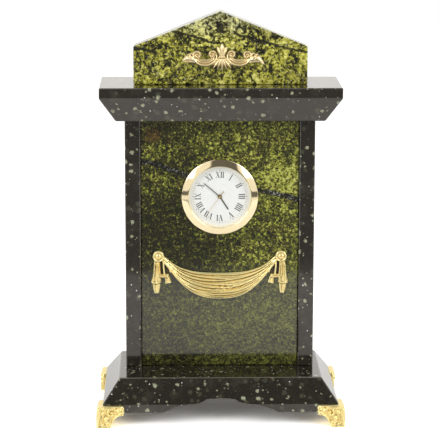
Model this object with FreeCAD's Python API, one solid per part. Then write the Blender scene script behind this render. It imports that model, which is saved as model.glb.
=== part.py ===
import FreeCAD, Part
import math
import os

from FreeCAD import Vector

# Mantel clock of polished stone slabs with a push-in quartz insert.
# Millimetres, +Z up, front towards -Y.
# Origin: middle of the footprint, on the surface that the clock stands on.

# Base block
base_width = 152.7
base_depth = 86.4
base_band_height = 6.4
base_slope_height = 14.5
base_slope_run = 10.6

# Low arch cut from front to back under the base
arch_half_width = 38.0
arch_rise = 9.2
arch_crown_half_width = 9.5
arch_crown_drop = 0.5
arch_shoulder_half_width = 17.0
arch_shoulder_rise = 6.2

# Case of stone slabs
case_width = 123.8
case_depth = 29.9
case_height = 166.9
case_setback = 26.1
side_slab_thickness = 10.0
panel_recess = 2.5
panel_thickness = 10.0
back_panel_thickness = 6.0
glue_line = 0.15
arris = 0.6

# Cornice slab
cornice_width = 155.1
cornice_band_height = 6.9
cornice_slope_height = 16.0
cornice_slope_run = 10.3
cornice_overhang = 24.5

# Gable block
pediment_width = 111.6
pediment_thickness = 13.2
pediment_eave_height = 24.6
pediment_gable_rise = 22.4
pediment_setback = 16.4

# Corner feet
foot_height = 8.7
foot_plate_thickness = 2.4
foot_leg_spread = 1.9
foot_leg_inner = 5.0
foot_leg_flare = 5.0
foot_arm_length = 14.0
foot_arm_above_base = 5.5
foot_arm_below_base = 0.9
foot_arm_round = 1.5
foot_flange_size = 13.0
foot_flange_thickness = 1.6
foot_scroll_radius = 2.3
foot_scroll_relief = 0.8
foot_screw_inset = 9.0
foot_screw_radius = 1.2
foot_screw_head_radius = 2.2
foot_screw_head_height = 1.2
foot_screw_grip = 5.0
foot_screw_clearance = 0.2

# Drapery swag on the front panel
swag_half_span = 40.3
swag_below_insert = 39.4
swag_top_sag = 11.3
swag_bottom_sag = 28.8
swag_bottom_half_span = 33.5
swag_end_drop = 11.0
swag_thickness = 2.2
swag_fold_radius = 0.9
swag_rosette_radius = 3.75
swag_rosette_thickness = 3.4
swag_rosette_button_radius = 1.8
swag_rosette_button_height = 0.6
swag_drop_length = 25.0
swag_drop_thickness = 2.0
swag_tail_length = 18.3

# Fixing studs behind both gilt mounts
stud_radius = 1.0
stud_length = 4.0
stud_hole_extra = 1.0

# Scroll and leaf mount on the gable
gable_mount_offset = 0.9
gable_mount_above_cornice = 19.5
gable_mount_thickness = 2.0
gable_mount_half_span = 27.5
gable_curl_radius = 3.3
gable_curl_relief = 0.8
gable_curl_inner_distance = 6.2
gable_curl_outer_distance = 16.1
gable_band_drop = 8.2
gable_band_width = 4.6
gable_crest_half_width = 5.0
gable_crest_height = 7.3
gable_tail_depth = 11.1

# Insert: place and bore
insert_below_case_top = 52.6
bore_radius = 23.0

# Insert: depths run back from the front face of the green panel
bezel_radius = 25.0
bezel_rim_height = 0.9
bezel_crest_radius = 21.3
bezel_crest_height = 3.2
bezel_inner_radius = 20.3
bezel_inner_height = 2.0
bezel_lip = 0.35
bezel_skirt_thickness = 0.9
bezel_skirt_depth = 2.0
lens_radius = 20.9
lens_thickness = 1.2
dial_ring_width = 1.2
dial_depth = 1.3
dial_thickness = 0.5
housing_rim = 1.0
housing_depth = 10.8
gasket_thickness = 0.4
gasket_start = 2.8
gasket_length = 6.0
gasket_rib_count = 4
gasket_rib_width = 0.7
gasket_bore_clearance = 0.3
case_back_thickness = 1.2
fit_gap = 0.1
run_gap = 0.05
grip_gap = 0.02

# Hands
hour_hand_length = 10.4
hour_hand_width = 1.0
minute_hand_length = 13.9
minute_hand_width = 0.8
second_hand_length = 14.2
second_hand_width = 0.35
second_hand_tail = 4.6
second_hand_tail_width = 0.8
hand_thickness = 0.2
hand_pitch = 0.4
hand_boss_radius = 1.6
hour_hand_lift = 0.55
hand_tail = 2.2
shown_hour = 4
shown_minute = 51
shown_second = 36

# Going train: teeth and modules
centre_teeth = 64
third_pinion_teeth = 8
third_teeth = 60
seconds_pinion_teeth = 8
seconds_teeth = 60
fifth_pinion_teeth = 10
fifth_teeth = 50
rotor_pinion_teeth = 10
centre_module = 0.17
seconds_module = 0.18
fifth_module = 0.12

# Motion work: teeth and module
cannon_teeth = 12
minute_wheel_teeth = 36
minute_pinion_teeth = 10
hour_wheel_teeth = 40
motion_module = 0.26

# Tooth form, in modules and in shares of the tooth pitch
tooth_tip_share = 0.75
tooth_root_share = 1.15
tooth_tip_width_share = 0.16
tooth_base_width_share = 0.52

# Shafts and tubes
seconds_arbor_radius = 0.25
cannon_wall = 0.45
hour_pipe_wall = 0.45
wheel_arbor_radius = 0.25
setting_arbor_radius = 0.3
rotor_arbor_radius = 0.2

# Plates and layers of the movement, front to back
plate_thickness = 0.6
wheel_thickness = 0.6
thin_wheel_thickness = 0.35
layer_gap = 0.2
pinion_overlap = 0.1
hour_layer_gap = 0.2
train_plate_depth = 4.5
back_plate_depth = 8.2
post_radius = 1.0
post_distance = 14.8
post_angles = (75.0, 215.0, 320.0)
plate_screw_radius = 0.4
plate_screw_head_radius = 0.8
plate_screw_head_height = 0.5
third_wheel_angle = -30.0
fifth_wheel_angle = 160.0
setting_angle = 90.0

# Motor, circuit and cell
rotor_radius = 1.1
rotor_length = 1.0
stator_gap = 0.4
stator_thickness = 0.5
stator_bar = 4.4
stator_arm = 1.8
coil_distance = 14.5
coil_half_length = 6.8
coil_radius = 1.15
coil_core_width = 1.6
coil_core_thickness = 0.5
board_length = 8.0
board_width = 7.0
board_thickness = 0.4
board_distance_x = 10.5
board_distance_z = 9.0
chip_size = 2.5
chip_height = 0.8
crystal_radius = 0.9
crystal_length = 4.0
crystal_drop = 1.0
cell_radius = 5.8
cell_height = 5.4
cell_distance = 11.8
cell_angle = 250.0
cell_rim = 0.5
cell_clearance = 0.3
contact_thickness = 0.2
contact_width = 2.4
contact_hook_width = 0.8
contact_radius = 17.0
contact_strip_width = 1.6
contact_start_angle = -93.0
contact_end_angle = 45.0

# Battery cover with two bayonet lugs, and the setting knob
cover_radius = 6.2
cover_lug_length = 1.0
cover_lug_thickness = 0.4
cover_lug_angle = 36.0
cover_turn = 50.0
cover_slot_width = 1.2
cover_slot_length = 9.0
cover_slot_depth = 0.5
knob_radius = 4.2
knob_thickness = 2.4
knob_rib_count = 18
knob_rib_radius = 0.35
knob_gap = 0.3

# Overrun of every cut past the face it starts from
overrun = 1.0

# Turns in degrees
full_turn = 360.0
half_turn = full_turn / 2
hour_mark_turn = full_turn / 12
minute_mark_turn = full_turn / 60

# Heights of the stone blocks
base_bottom = foot_height
base_band_top = base_bottom + base_band_height
base_top = base_band_top + base_slope_height
case_top = base_top + case_height
cornice_band_bottom = case_top + cornice_slope_height
cornice_top = cornice_band_bottom + cornice_band_height
eave = cornice_top + pediment_eave_height
apex = eave + pediment_gable_rise

# Heights of the insert and the gilt mounts
insert_height = case_top - insert_below_case_top
swag_height = insert_height - swag_below_insert
gable_mount_height = cornice_top + gable_mount_above_cornice

# Depths of the stone blocks
base_front = -base_depth / 2
case_front = base_front + base_slope_run + case_setback
case_back_plane = case_front + case_depth
panel_front = case_front + panel_recess
panel_back = panel_front + panel_thickness
cornice_front = case_front - cornice_overhang
pediment_front = cornice_front + pediment_setback
inner_half_width = case_width / 2 - side_slab_thickness

# Axis of the insert, pointing from front to back
AXIS = Vector(0, 1, 0)
UP = Vector(0, 0, 1)


def save(name, shape):
    shape.exportStep(os.path.join("parts", name + ".step"))
    solids = shape.Solids
    volume = sum(s.Volume for s in solids)
    print(name, "solids", len(solids), "volume", round(volume, 3), "valid", shape.isValid())


def box(x0, x1, y0, y1, z0, z1):
    return Part.makeBox(x1 - x0, y1 - y0, z1 - z0, Vector(x0, y0, z0))


def fuse(shapes):
    first = shapes[0]
    if len(shapes) == 1:
        return first
    return first.multiFuse(shapes[1:]).removeSplitter()


def face_xz(points, y):
    return Part.Face(Part.makePolygon([Vector(x, y, z) for x, z in points + points[:1]]))


def prism(points, y0, y1):
    """A polygon in x and z, drawn out from depth y0 to y1."""
    return face_xz(points, y0).extrude(Vector(0, y1 - y0, 0))


def tower(levels):
    """A solid through rectangles (x0, x1, y0, y1, z) from the lowest to the highest, with flat sides."""
    rings = [[Vector(x0, y0, z), Vector(x1, y0, z), Vector(x1, y1, z), Vector(x0, y1, z)]
             for x0, x1, y0, y1, z in levels]
    loops = [list(reversed(rings[0])), rings[-1]]
    for low, high in zip(rings, rings[1:]):
        for i in range(4):
            j = (i + 1) % 4
            loops.append([low[i], low[j], high[j], high[i]])
    faces = [Part.Face(Part.makePolygon(loop + loop[:1])) for loop in loops]
    return Part.Solid(Part.Shell(faces)).removeSplitter()


def soften(shape, size):
    """A small flat on every edge, as a stone worker leaves it."""
    return shape.makeChamfer(size, shape.Edges)


# Places on the insert: x and z from its axis, depth back from the front face of the green panel

def at(x, z, depth):
    return Vector(x, panel_front + depth, insert_height + z)


def disc(radius, d0, d1, place=(0, 0)):
    return Part.makeCylinder(radius, d1 - d0, at(place[0], place[1], d0), AXIS)


def ring(inner, outer, d0, d1, place=(0, 0)):
    return disc(outer, d0, d1, place).cut(disc(inner, d0 - overrun, d1 + overrun, place))


def insert_box(x0, x1, z0, z1, d0, d1):
    return box(x0, x1, panel_front + d0, panel_front + d1, insert_height + z0, insert_height + z1)


def turned(points):
    """A profile of (radius, depth) points, turned about the axis of the insert."""
    corners = [at(r, 0, d) for r, d in points + points[:1]]
    return Part.Face(Part.makePolygon(corners)).revolve(at(0, 0, 0), AXIS, full_turn)


def polar(radius, angle):
    """x and z of a place, by its angle from +x towards +z."""
    return (radius * math.cos(math.radians(angle)), radius * math.sin(math.radians(angle)))


def sector(inner, outer, start, end, d0, d1, place=(0, 0)):
    """Part of a flat ring between two angles from +x towards +z."""
    outer_arc = [polar(outer, start + (end - start) * share) for share in (0.0, 0.5, 1.0)]
    inner_arc = [polar(inner, end - (end - start) * share) for share in (0.0, 0.5, 1.0)]
    o = [at(place[0] + x, place[1] + z, d0) for x, z in outer_arc]
    i = [at(place[0] + x, place[1] + z, d0) for x, z in inner_arc]
    wire = Part.Wire([
        Part.Arc(*o).toShape(),
        Part.makeLine(o[2], i[0]),
        Part.Arc(*i).toShape(),
        Part.makeLine(i[2], o[0]),
    ])
    return Part.Face(wire).extrude(Vector(0, d1 - d0, 0))


# Stone

def base_block():
    half_w = base_width / 2
    half_d = base_depth / 2
    top_w = half_w - base_slope_run
    top_d = half_d - base_slope_run
    block = tower([
        (-half_w, half_w, -half_d, half_d, base_bottom),
        (-half_w, half_w, -half_d, half_d, base_band_top),
        (-top_w, top_w, -top_d, top_d, base_top),
    ])
    block = soften(block, arris)
    block = block.cut(arch())
    for x, y in foot_screw_places():
        start = Vector(x, y, base_bottom - overrun)
        block = block.cut(Part.makeCylinder(foot_screw_radius, foot_screw_grip + 2 * overrun, start, UP))
    return block


def arc(first, middle, last):
    return Part.Arc(first, middle, last).toShape()


def arch():
    """The low arch: a crown between two swept shoulders, cut from front to back."""
    y = base_front - overrun
    low = (arch_half_width, -overrun)
    foot = (arch_half_width, 0)
    shoulder = (arch_shoulder_half_width, arch_shoulder_rise)
    edge = (arch_crown_half_width, arch_rise - arch_crown_drop)
    # a point on each sweep, across and up, between its two ends
    lower_share = (0.45, 0.68)
    upper_share = (0.6, 0.38)

    def spot(point, side):
        return Vector(side * point[0], y, base_bottom + point[1])

    def sweep(a, b, share, side):
        middle = (a[0] + (b[0] - a[0]) * share[0], a[1] + (b[1] - a[1]) * share[1])
        return arc(spot(a, side), spot(middle, side), spot(b, side))

    edges = [
        Part.makeLine(spot(low, -1), spot(low, 1)),
        arc(spot(edge, -1), spot((0, arch_rise), 1), spot(edge, 1)),
    ]
    for side in (-1, 1):
        edges.append(Part.makeLine(spot(low, side), spot(foot, side)))
        edges.append(sweep(foot, shoulder, lower_share, side))
        edges.append(sweep(shoulder, edge, upper_share, side))
    wire = Part.Wire(Part.__sortEdges__(edges))
    return Part.Face(wire).extrude(Vector(0, base_depth + 2 * overrun, 0))


def side_slab(side):
    outer = side * case_width / 2
    inner = side * inner_half_width
    slab = box(min(outer, inner), max(outer, inner), case_front, case_back_plane, base_top, case_top)
    return soften(slab, arris)


def stud_hole(x, face, z):
    """A blind hole for one fixing stud of a gilt mount, drilled into a front face."""
    length = stud_length + stud_hole_extra + overrun
    return Part.makeCylinder(stud_radius + grip_gap, length, Vector(x, face - overrun, z), AXIS)


def stud(x, face, z):
    return Part.makeCylinder(stud_radius, stud_length, Vector(x, face, z), AXIS)


def front_panel():
    half = inner_half_width - glue_line
    panel = box(-half, half, panel_front, panel_back, base_top, case_top)
    panel = soften(panel, arris)
    panel = panel.cut(disc(bore_radius, -overrun, panel_thickness + overrun))
    for x, z in swag_stud_places():
        panel = panel.cut(stud_hole(x, panel_front, z))
    return panel


def back_panel():
    half = inner_half_width - glue_line
    panel = box(-half, half, case_back_plane - back_panel_thickness, case_back_plane, base_top, case_top)
    return soften(panel, arris)


def cornice():
    half = cornice_width / 2
    low = half - cornice_slope_run
    block = tower([
        (-low, low, cornice_front + cornice_slope_run, case_back_plane, case_top),
        (-half, half, cornice_front, case_back_plane, cornice_band_bottom),
        (-half, half, cornice_front, case_back_plane, cornice_top),
    ])
    return soften(block, arris)


def pediment():
    half = pediment_width / 2
    outline = [(-half, cornice_top), (half, cornice_top), (half, eave), (0, apex), (-half, eave)]
    block = prism(outline, pediment_front, pediment_front + pediment_thickness)
    block = soften(block, arris)
    for x, z in gable_stud_places():
        block = block.cut(stud_hole(x, pediment_front, z))
    return block


# Feet

def foot_screw_places():
    x = base_width / 2 - foot_screw_inset
    y = base_depth / 2 - foot_screw_inset
    return [(-x, -y), (x, -y), (-x, y), (x, y)]


def foot_outline(spot):
    """One arm and its leg; spot turns a distance in from the base corner and a height into a point."""
    hollow_share = (0.2, 0.67)
    arm_low = base_bottom - foot_arm_below_base
    arm_high = base_bottom + foot_arm_above_base
    outer = foot_plate_thickness + foot_leg_spread
    turn = foot_arm_length - foot_arm_round
    bend = foot_leg_inner + foot_leg_flare
    hollow = (foot_leg_inner + foot_leg_flare * hollow_share[0], arm_low * hollow_share[1])
    corners = {
        "heel": spot(-outer, 0),
        "toe": spot(foot_leg_inner, 0),
        "hollow": spot(*hollow),
        "bend": spot(bend, arm_low),
        "low": spot(turn, arm_low),
        "tip": spot(foot_arm_length, (arm_low + arm_high) / 2),
        "high": spot(turn, arm_high),
        "shoulder": spot(-foot_plate_thickness, arm_high),
    }
    edges = [
        Part.makeLine(corners["heel"], corners["toe"]),
        arc(corners["toe"], corners["hollow"], corners["bend"]),
        Part.makeLine(corners["bend"], corners["low"]),
        arc(corners["low"], corners["tip"], corners["high"]),
        Part.makeLine(corners["high"], corners["shoulder"]),
        Part.makeLine(corners["shoulder"], corners["heel"]),
    ]
    return Part.Face(Part.Wire(edges))


def corner_foot(side_x, side_y):
    """A cast bracket: two arms on the band, a flange under the corner and a spreading leg."""
    corner_x = base_width / 2
    corner_y = base_depth / 2
    thick = foot_plate_thickness
    front = foot_outline(lambda u, z: Vector(corner_x - u, corner_y, z)).extrude(Vector(0, thick, 0))
    side = foot_outline(lambda u, z: Vector(corner_x, corner_y - u, z)).extrude(Vector(thick, 0, 0))
    flange = box(corner_x - foot_flange_size, corner_x, corner_y - foot_flange_size, corner_y,
                 base_bottom - foot_flange_thickness, base_bottom)
    out = thick + foot_leg_spread
    inner = foot_leg_inner
    leg = tower([
        (corner_x - inner, corner_x + out, corner_y - inner, corner_y + out, 0),
        (corner_x - inner, corner_x + thick, corner_y - inner, corner_y + thick, base_bottom),
    ])
    scroll_z = base_bottom + (foot_arm_above_base - foot_arm_below_base) / 2
    scroll_u = foot_arm_length - foot_scroll_radius - foot_arm_round / 2
    scroll_length = thick + foot_scroll_relief
    scroll_spots = [
        (Vector(corner_x - scroll_u, corner_y, scroll_z), Vector(0, 1, 0)),
        (Vector(corner_x, corner_y - scroll_u, scroll_z), Vector(1, 0, 0)),
    ]
    pieces = [flange, leg, front, side]
    for spot, outward in scroll_spots:
        pieces.append(Part.makeCylinder(foot_scroll_radius, scroll_length, spot, outward))
    foot = fuse(pieces)
    screw = Vector(corner_x - foot_screw_inset, corner_y - foot_screw_inset, 0)
    hole_radius = foot_screw_radius + foot_screw_clearance
    foot = foot.cut(Part.makeCylinder(hole_radius, base_bottom + overrun, screw, UP))
    if side_x < 0:
        foot = foot.mirror(Vector(0, 0, 0), Vector(1, 0, 0))
    if side_y < 0:
        foot = foot.mirror(Vector(0, 0, 0), Vector(0, 1, 0))
    return foot


def foot_screws():
    head_top = base_bottom - foot_flange_thickness
    length = foot_flange_thickness + foot_screw_grip
    screws = []
    for x, y in foot_screw_places():
        head = Part.makeCylinder(foot_screw_head_radius, foot_screw_head_height,
                                 Vector(x, y, head_top - foot_screw_head_height), UP)
        shank = Part.makeCylinder(foot_screw_radius - grip_gap, length, Vector(x, y, head_top), UP)
        screws.append(fuse([head, shank]))
    return Part.makeCompound(screws)


# Gilt mounts

def hung_arc(x, z_end, z_middle, y):
    return arc(Vector(-x, y, z_end), Vector(0, y, z_middle), Vector(x, y, z_end))


def swag_stud_places():
    return [(-swag_half_span, swag_height), (swag_half_span, swag_height)]


def swag_ornament():
    """Drapery hung between two rosettes, with a folded drop and a short tail at each side."""
    back = panel_front
    front = back - swag_thickness
    low_end = swag_height - swag_end_drop
    edges = [
        hung_arc(swag_half_span, swag_height, swag_height - swag_top_sag, back),
        hung_arc(swag_bottom_half_span, low_end, swag_height - swag_bottom_sag, back),
    ]
    for side in (-1, 1):
        high = Vector(side * swag_half_span, back, swag_height)
        low = Vector(side * swag_bottom_half_span, back, low_end)
        edges.append(Part.makeLine(high, low))
    wire = Part.Wire(Part.__sortEdges__(edges))
    cloth = Part.Face(wire).extrude(Vector(0, front - back, 0))
    pieces = [cloth]
    fold_shares = (0.12, 0.38, 0.64, 0.9)
    for share in fold_shares:
        sag = swag_top_sag + (swag_bottom_sag - swag_top_sag) * share
        half = swag_half_span + (swag_bottom_half_span - swag_half_span) * share - swag_fold_radius
        end_z = swag_height - swag_end_drop * share
        path = Part.Wire(hung_arc(half, end_z, swag_height - sag, front))
        start = path.Edges[0].valueAt(path.Edges[0].FirstParameter)
        tangent = path.Edges[0].tangentAt(path.Edges[0].FirstParameter)
        rib = Part.Wire(Part.makeCircle(swag_fold_radius, start, tangent))
        pieces.append(path.makePipeShell([rib], True, False))
    for side in (-1, 1):
        centre = Vector(side * swag_half_span, back, swag_height)
        pieces.append(Part.makeCylinder(swag_rosette_radius, swag_rosette_thickness, centre, -AXIS))
        button = swag_rosette_thickness + swag_rosette_button_height
        pieces.append(Part.makeCylinder(swag_rosette_button_radius, button, centre, -AXIS))
        pieces.append(stud(centre.x, back, centre.z))
        pieces.append(swag_drop(side))
        pieces.append(swag_tail(side))
    return fuse(pieces)


def swag_drop(side):
    """The outer drop: narrow under the rosette, widest near its foot and ending in a blunt tip."""
    length = swag_drop_length
    radius = swag_rosette_radius
    # across and down, as shares of the rosette radius and of the drop length
    shares = [(-0.75, 0.1), (0.2, 0.1), (0.45, 0.72), (0.5, 0.74), (0.05, 0.86), (-0.15, 1.0),
              (-0.75, 1.0), (-0.9, 0.84), (-1.3, 0.76), (-1.1, 0.7)]
    points = [(side * (swag_half_span - a * radius), swag_height - b * length) for a, b in shares]
    return prism(points, panel_front - swag_drop_thickness, panel_front)


def swag_tail(side):
    """The inner tail, tied to the drop by a bridge and open above it."""
    length = swag_tail_length
    radius = swag_rosette_radius
    # across towards the middle and down, as shares of the rosette radius and of the tail length
    shares = [(1.0, 0.3), (1.55, 0.45), (1.45, 0.72), (2.2, 1.0), (1.35, 1.0), (1.1, 0.88), (0.35, 0.88),
              (0.35, 0.66), (0.95, 0.66), (1.05, 0.45)]
    points = [(side * (swag_half_span - a * radius), swag_height - b * length) for a, b in shares]
    return prism(points, panel_front - swag_drop_thickness, panel_front)


def gable_stud_places():
    place = (gable_curl_inner_distance + gable_curl_outer_distance) / 2
    height = gable_mount_height - gable_band_drop + gable_band_width / 2
    return [(gable_mount_offset - place, height), (gable_mount_offset + place, height)]


def gable_scroll(side):
    """One C scroll: a dipping band between two curls, with a leafy wing outside."""
    back = pediment_front
    z = gable_mount_height
    half = gable_mount_half_span

    def spot(across, up):
        return Vector(gable_mount_offset + side * across, back, z + up)

    inner = gable_curl_inner_distance
    outer = gable_curl_outer_distance
    middle = (inner + outer) / 2
    reach = gable_curl_radius
    notch = (outer - inner) / 4
    notch_drop = gable_band_drop - gable_band_width
    edges = [
        arc(spot(inner - reach, 0), spot(middle, -gable_band_drop), spot(outer + reach, 0)),
        Part.makeLine(spot(outer + reach, 0), spot(middle + notch, 0)),
        arc(spot(middle + notch, 0), spot(middle, -notch_drop), spot(middle - notch, 0)),
        Part.makeLine(spot(middle - notch, 0), spot(inner - reach, 0)),
    ]
    band = Part.Face(Part.Wire(edges)).extrude(Vector(0, -gable_mount_thickness, 0))
    pieces = [band]
    for place in (inner, outer):
        length = gable_mount_thickness + gable_curl_relief
        pieces.append(Part.makeCylinder(reach, length, spot(place, 0), -AXIS))
    # across as a share of the half span, up as a share of the tail depth
    wing_shares = [(0.5, -0.62), (0.7, -0.44), (0.82, -0.34), (0.94, -0.52), (1.0, -0.6), (0.99, -0.45),
                   (0.89, -0.2), (0.85, 0.0), (0.78, 0.02), (0.72, -0.1), (0.6, 0.0)]
    points = [(gable_mount_offset + side * a * half, z + b * gable_tail_depth) for a, b in wing_shares]
    pieces.append(prism(points, back - gable_mount_thickness, back))
    return pieces


def pediment_ornament():
    """Two C scrolls back to back, a palm leaf crest over them and a leaf spray under them."""
    back = pediment_front
    front = back - gable_mount_thickness
    z = gable_mount_height
    pieces = gable_scroll(-1) + gable_scroll(1)
    # across as shares of the crest half width; heights as shares of the crest height or the tail depth
    crest_shares = [(0.55, -0.3), (0.95, 0.15), (1.0, 0.5), (0.72, 0.55), (0.6, 0.82), (0.3, 0.8),
                    (0.0, 1.0)]
    spray_shares = [(0.0, -1.0), (0.55, -0.84), (1.1, -0.93), (1.05, -0.8), (1.65, -0.84), (1.75, -0.76)]
    crest = [(a * gable_crest_half_width, b * gable_crest_height) for a, b in crest_shares]
    spray = [(a * gable_crest_half_width, b * gable_tail_depth) for a, b in spray_shares]
    right = spray + crest
    left = [(-across, up) for across, up in reversed(right[1:-1])]
    points = [(gable_mount_offset + across, z + up) for across, up in right + left]
    pieces.append(prism(points, front, back))
    for x, stud_z in gable_stud_places():
        pieces.append(stud(x, back, stud_z))
    return fuse(pieces)


# Insert shell

lens_front = bezel_lip - bezel_inner_height
lens_back = lens_front + lens_thickness
skirt_inner = lens_radius + fit_gap
barrel_radius = skirt_inner + bezel_skirt_thickness
housing_inner = lens_radius - fit_gap - housing_rim
dial_back = dial_depth + dial_thickness
front_plate_depth = dial_back
case_back_depth = housing_depth - case_back_thickness
knob_depth = housing_depth + knob_gap


def bezel():
    """Turned ring: a short rim, a crest and a slope down to the glass, with a skirt behind."""
    crown_share = 0.65
    crown_height = bezel_rim_height + (bezel_crest_height - bezel_rim_height) * crown_share
    return turned([
        (bezel_radius, 0),
        (bezel_radius, -bezel_rim_height),
        ((bezel_radius + bezel_crest_radius) / 2, -crown_height),
        (bezel_crest_radius, -bezel_crest_height),
        (bezel_inner_radius, -bezel_inner_height),
        (bezel_inner_radius, lens_front),
        (skirt_inner, lens_front),
        (skirt_inner, bezel_skirt_depth),
        (barrel_radius, bezel_skirt_depth),
        (barrel_radius, 0),
    ])


def lens():
    return disc(lens_radius, lens_front, lens_back)


def dial_ring():
    return ring(lens_radius - dial_ring_width, lens_radius, lens_back, dial_depth)


def dial():
    hole = hour_pipe_outer + fit_gap
    return ring(hole, lens_radius - fit_gap, dial_depth, dial_back)


def housing():
    """The barrel: a thin front rim inside the skirt, then the full wall behind it."""
    shoulder = bezel_skirt_depth + fit_gap
    return turned([
        (housing_inner, dial_back),
        (lens_radius - fit_gap, dial_back),
        (lens_radius - fit_gap, shoulder),
        (barrel_radius, shoulder),
        (barrel_radius, housing_depth),
        (housing_inner, housing_depth),
    ])


def gasket():
    """Rubber ring with ribs that grip the bore of the panel."""
    inner = barrel_radius + fit_gap
    outer = inner + gasket_thickness
    tip = bore_radius - gasket_bore_clearance
    sleeve = ring(inner, outer, gasket_start, gasket_start + gasket_length)
    ribs = []
    pitch = gasket_length / gasket_rib_count
    for i in range(gasket_rib_count):
        start = gasket_start + pitch * i + (pitch - gasket_rib_width) / 2
        ribs.append(ring(inner, tip, start, start + gasket_rib_width))
    return fuse([sleeve] + ribs)


def case_back():
    """Disc that closes the barrel, with a slotted round opening over the cell."""
    plate = disc(housing_inner - fit_gap, case_back_depth, housing_depth)
    holes = [(setting_place, setting_arbor_radius + run_gap), (cell_centre, cover_radius + fit_gap)]
    plate = drill(plate, holes, case_back_depth, housing_depth)
    lug_tip = cover_radius + cover_lug_length + fit_gap
    groove_front = case_back_depth + (case_back_thickness - cover_lug_thickness) / 2 - fit_gap
    groove_back = groove_front + cover_lug_thickness + 2 * fit_gap
    plate = plate.cut(disc(lug_tip, groove_front, groove_back, cell_centre))
    for start in (0, half_turn):
        first = start - cover_turn - cover_lug_angle / 2 - fit_gap
        last = first + cover_lug_angle + 2 * fit_gap
        back = housing_depth + overrun
        plate = plate.cut(sector(cover_radius, lug_tip, first, last, groove_front, back, cell_centre))
    return plate


def battery_cover():
    """Coin-slot cover: two lugs turn in a groove of the case back."""
    cover = disc(cover_radius, case_back_depth, housing_depth, cell_centre)
    lug_front = case_back_depth + (case_back_thickness - cover_lug_thickness) / 2
    lug_back = lug_front + cover_lug_thickness
    root = cover_radius - fit_gap
    tip = cover_radius + cover_lug_length
    lugs = []
    for middle in (0, half_turn):
        first = middle - cover_lug_angle / 2
        last = middle + cover_lug_angle / 2
        lugs.append(sector(root, tip, first, last, lug_front, lug_back, cell_centre))
    cover = fuse([cover] + lugs)
    x, z = cell_centre
    half_l = cover_slot_length / 2
    half_w = cover_slot_width / 2
    slot = insert_box(x - half_l, x + half_l, z - half_w, z + half_w,
                      housing_depth - cover_slot_depth, housing_depth + overrun)
    return cover.cut(slot)


def setting_knob():
    """Ribbed knob on the arbor of the minute wheel."""
    back = knob_depth + knob_thickness
    middle = knob_depth + knob_thickness / 2
    knob = disc(knob_radius, knob_depth, back, setting_place)
    for i in range(knob_rib_count):
        x, z = polar(knob_radius, full_turn * i / knob_rib_count)
        place = (setting_place[0] + x, setting_place[1] + z)
        knob = knob.cut(disc(knob_rib_radius, knob_depth - overrun, back + overrun, place))
    return knob.cut(disc(setting_arbor_radius + grip_gap, knob_depth - overrun, middle, setting_place))


# Gears

def spread(teeth_a, teeth_b, module):
    return (teeth_a + teeth_b) * module / 2


motion_distance = spread(cannon_teeth, minute_wheel_teeth, motion_module)
hour_module = 2 * motion_distance / (minute_pinion_teeth + hour_wheel_teeth)
third_distance = spread(centre_teeth, third_pinion_teeth, centre_module)
third_module = 2 * third_distance / (third_teeth + seconds_pinion_teeth)
fifth_distance = spread(seconds_teeth, fifth_pinion_teeth, seconds_module)
rotor_distance = spread(fifth_teeth, rotor_pinion_teeth, fifth_module)

setting_place = polar(motion_distance, setting_angle)
third_place = polar(third_distance, third_wheel_angle)
fifth_place = polar(fifth_distance, fifth_wheel_angle)
rotor_place = polar(fifth_distance + rotor_distance, fifth_wheel_angle)
cell_centre = polar(cell_distance, cell_angle)

cannon_inner = seconds_arbor_radius + run_gap
cannon_outer = cannon_inner + cannon_wall
hour_pipe_inner = cannon_outer + run_gap
hour_pipe_outer = hour_pipe_inner + hour_pipe_wall

front_plate_back = front_plate_depth + plate_thickness
hour_wheel_depth = front_plate_back + hour_layer_gap
minute_wheel_depth = hour_wheel_depth + wheel_thickness + layer_gap
train_plate_back = train_plate_depth + plate_thickness
centre_wheel_depth = train_plate_back + layer_gap
third_wheel_depth = centre_wheel_depth + thin_wheel_thickness + 2 * layer_gap
seconds_wheel_depth = third_wheel_depth + thin_wheel_thickness + 2 * layer_gap
fifth_wheel_depth = seconds_wheel_depth + thin_wheel_thickness + layer_gap
back_plate_back = back_plate_depth + plate_thickness

hour_hand_depth = dial_depth - hour_hand_lift
minute_hand_depth = hour_hand_depth - hand_pitch
second_hand_depth = minute_hand_depth - hand_pitch


def toothed(teeth, module, phase, d0, d1, place):
    """A wheel with straight-sided teeth; one tooth points at the angle called phase."""
    pitch_radius = teeth * module / 2
    tip = pitch_radius + tooth_tip_share * module
    root = pitch_radius - tooth_root_share * module
    pitch = full_turn / teeth
    points = []
    for i in range(teeth):
        middle = phase + pitch * i
        half_base = tooth_base_width_share * pitch / 2
        half_tip = tooth_tip_width_share * pitch / 2
        points.append(polar(root, middle - half_base))
        points.append(polar(tip, middle - half_tip))
        points.append(polar(tip, middle + half_tip))
        points.append(polar(root, middle + half_base))
    corners = [(place[0] + x, insert_height + place[1] + z) for x, z in points]
    return prism(corners, panel_front + d0, panel_front + d1)


def meshed_phase(teeth_a, phase_a, direction, teeth_b):
    """Phase of wheel b so that its gap meets the tooth of wheel a; direction points from a to b."""
    share_a = (direction - phase_a) * teeth_a / full_turn
    share_b = 0.5 - share_a
    return direction + half_turn - share_b * full_turn / teeth_b


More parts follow.
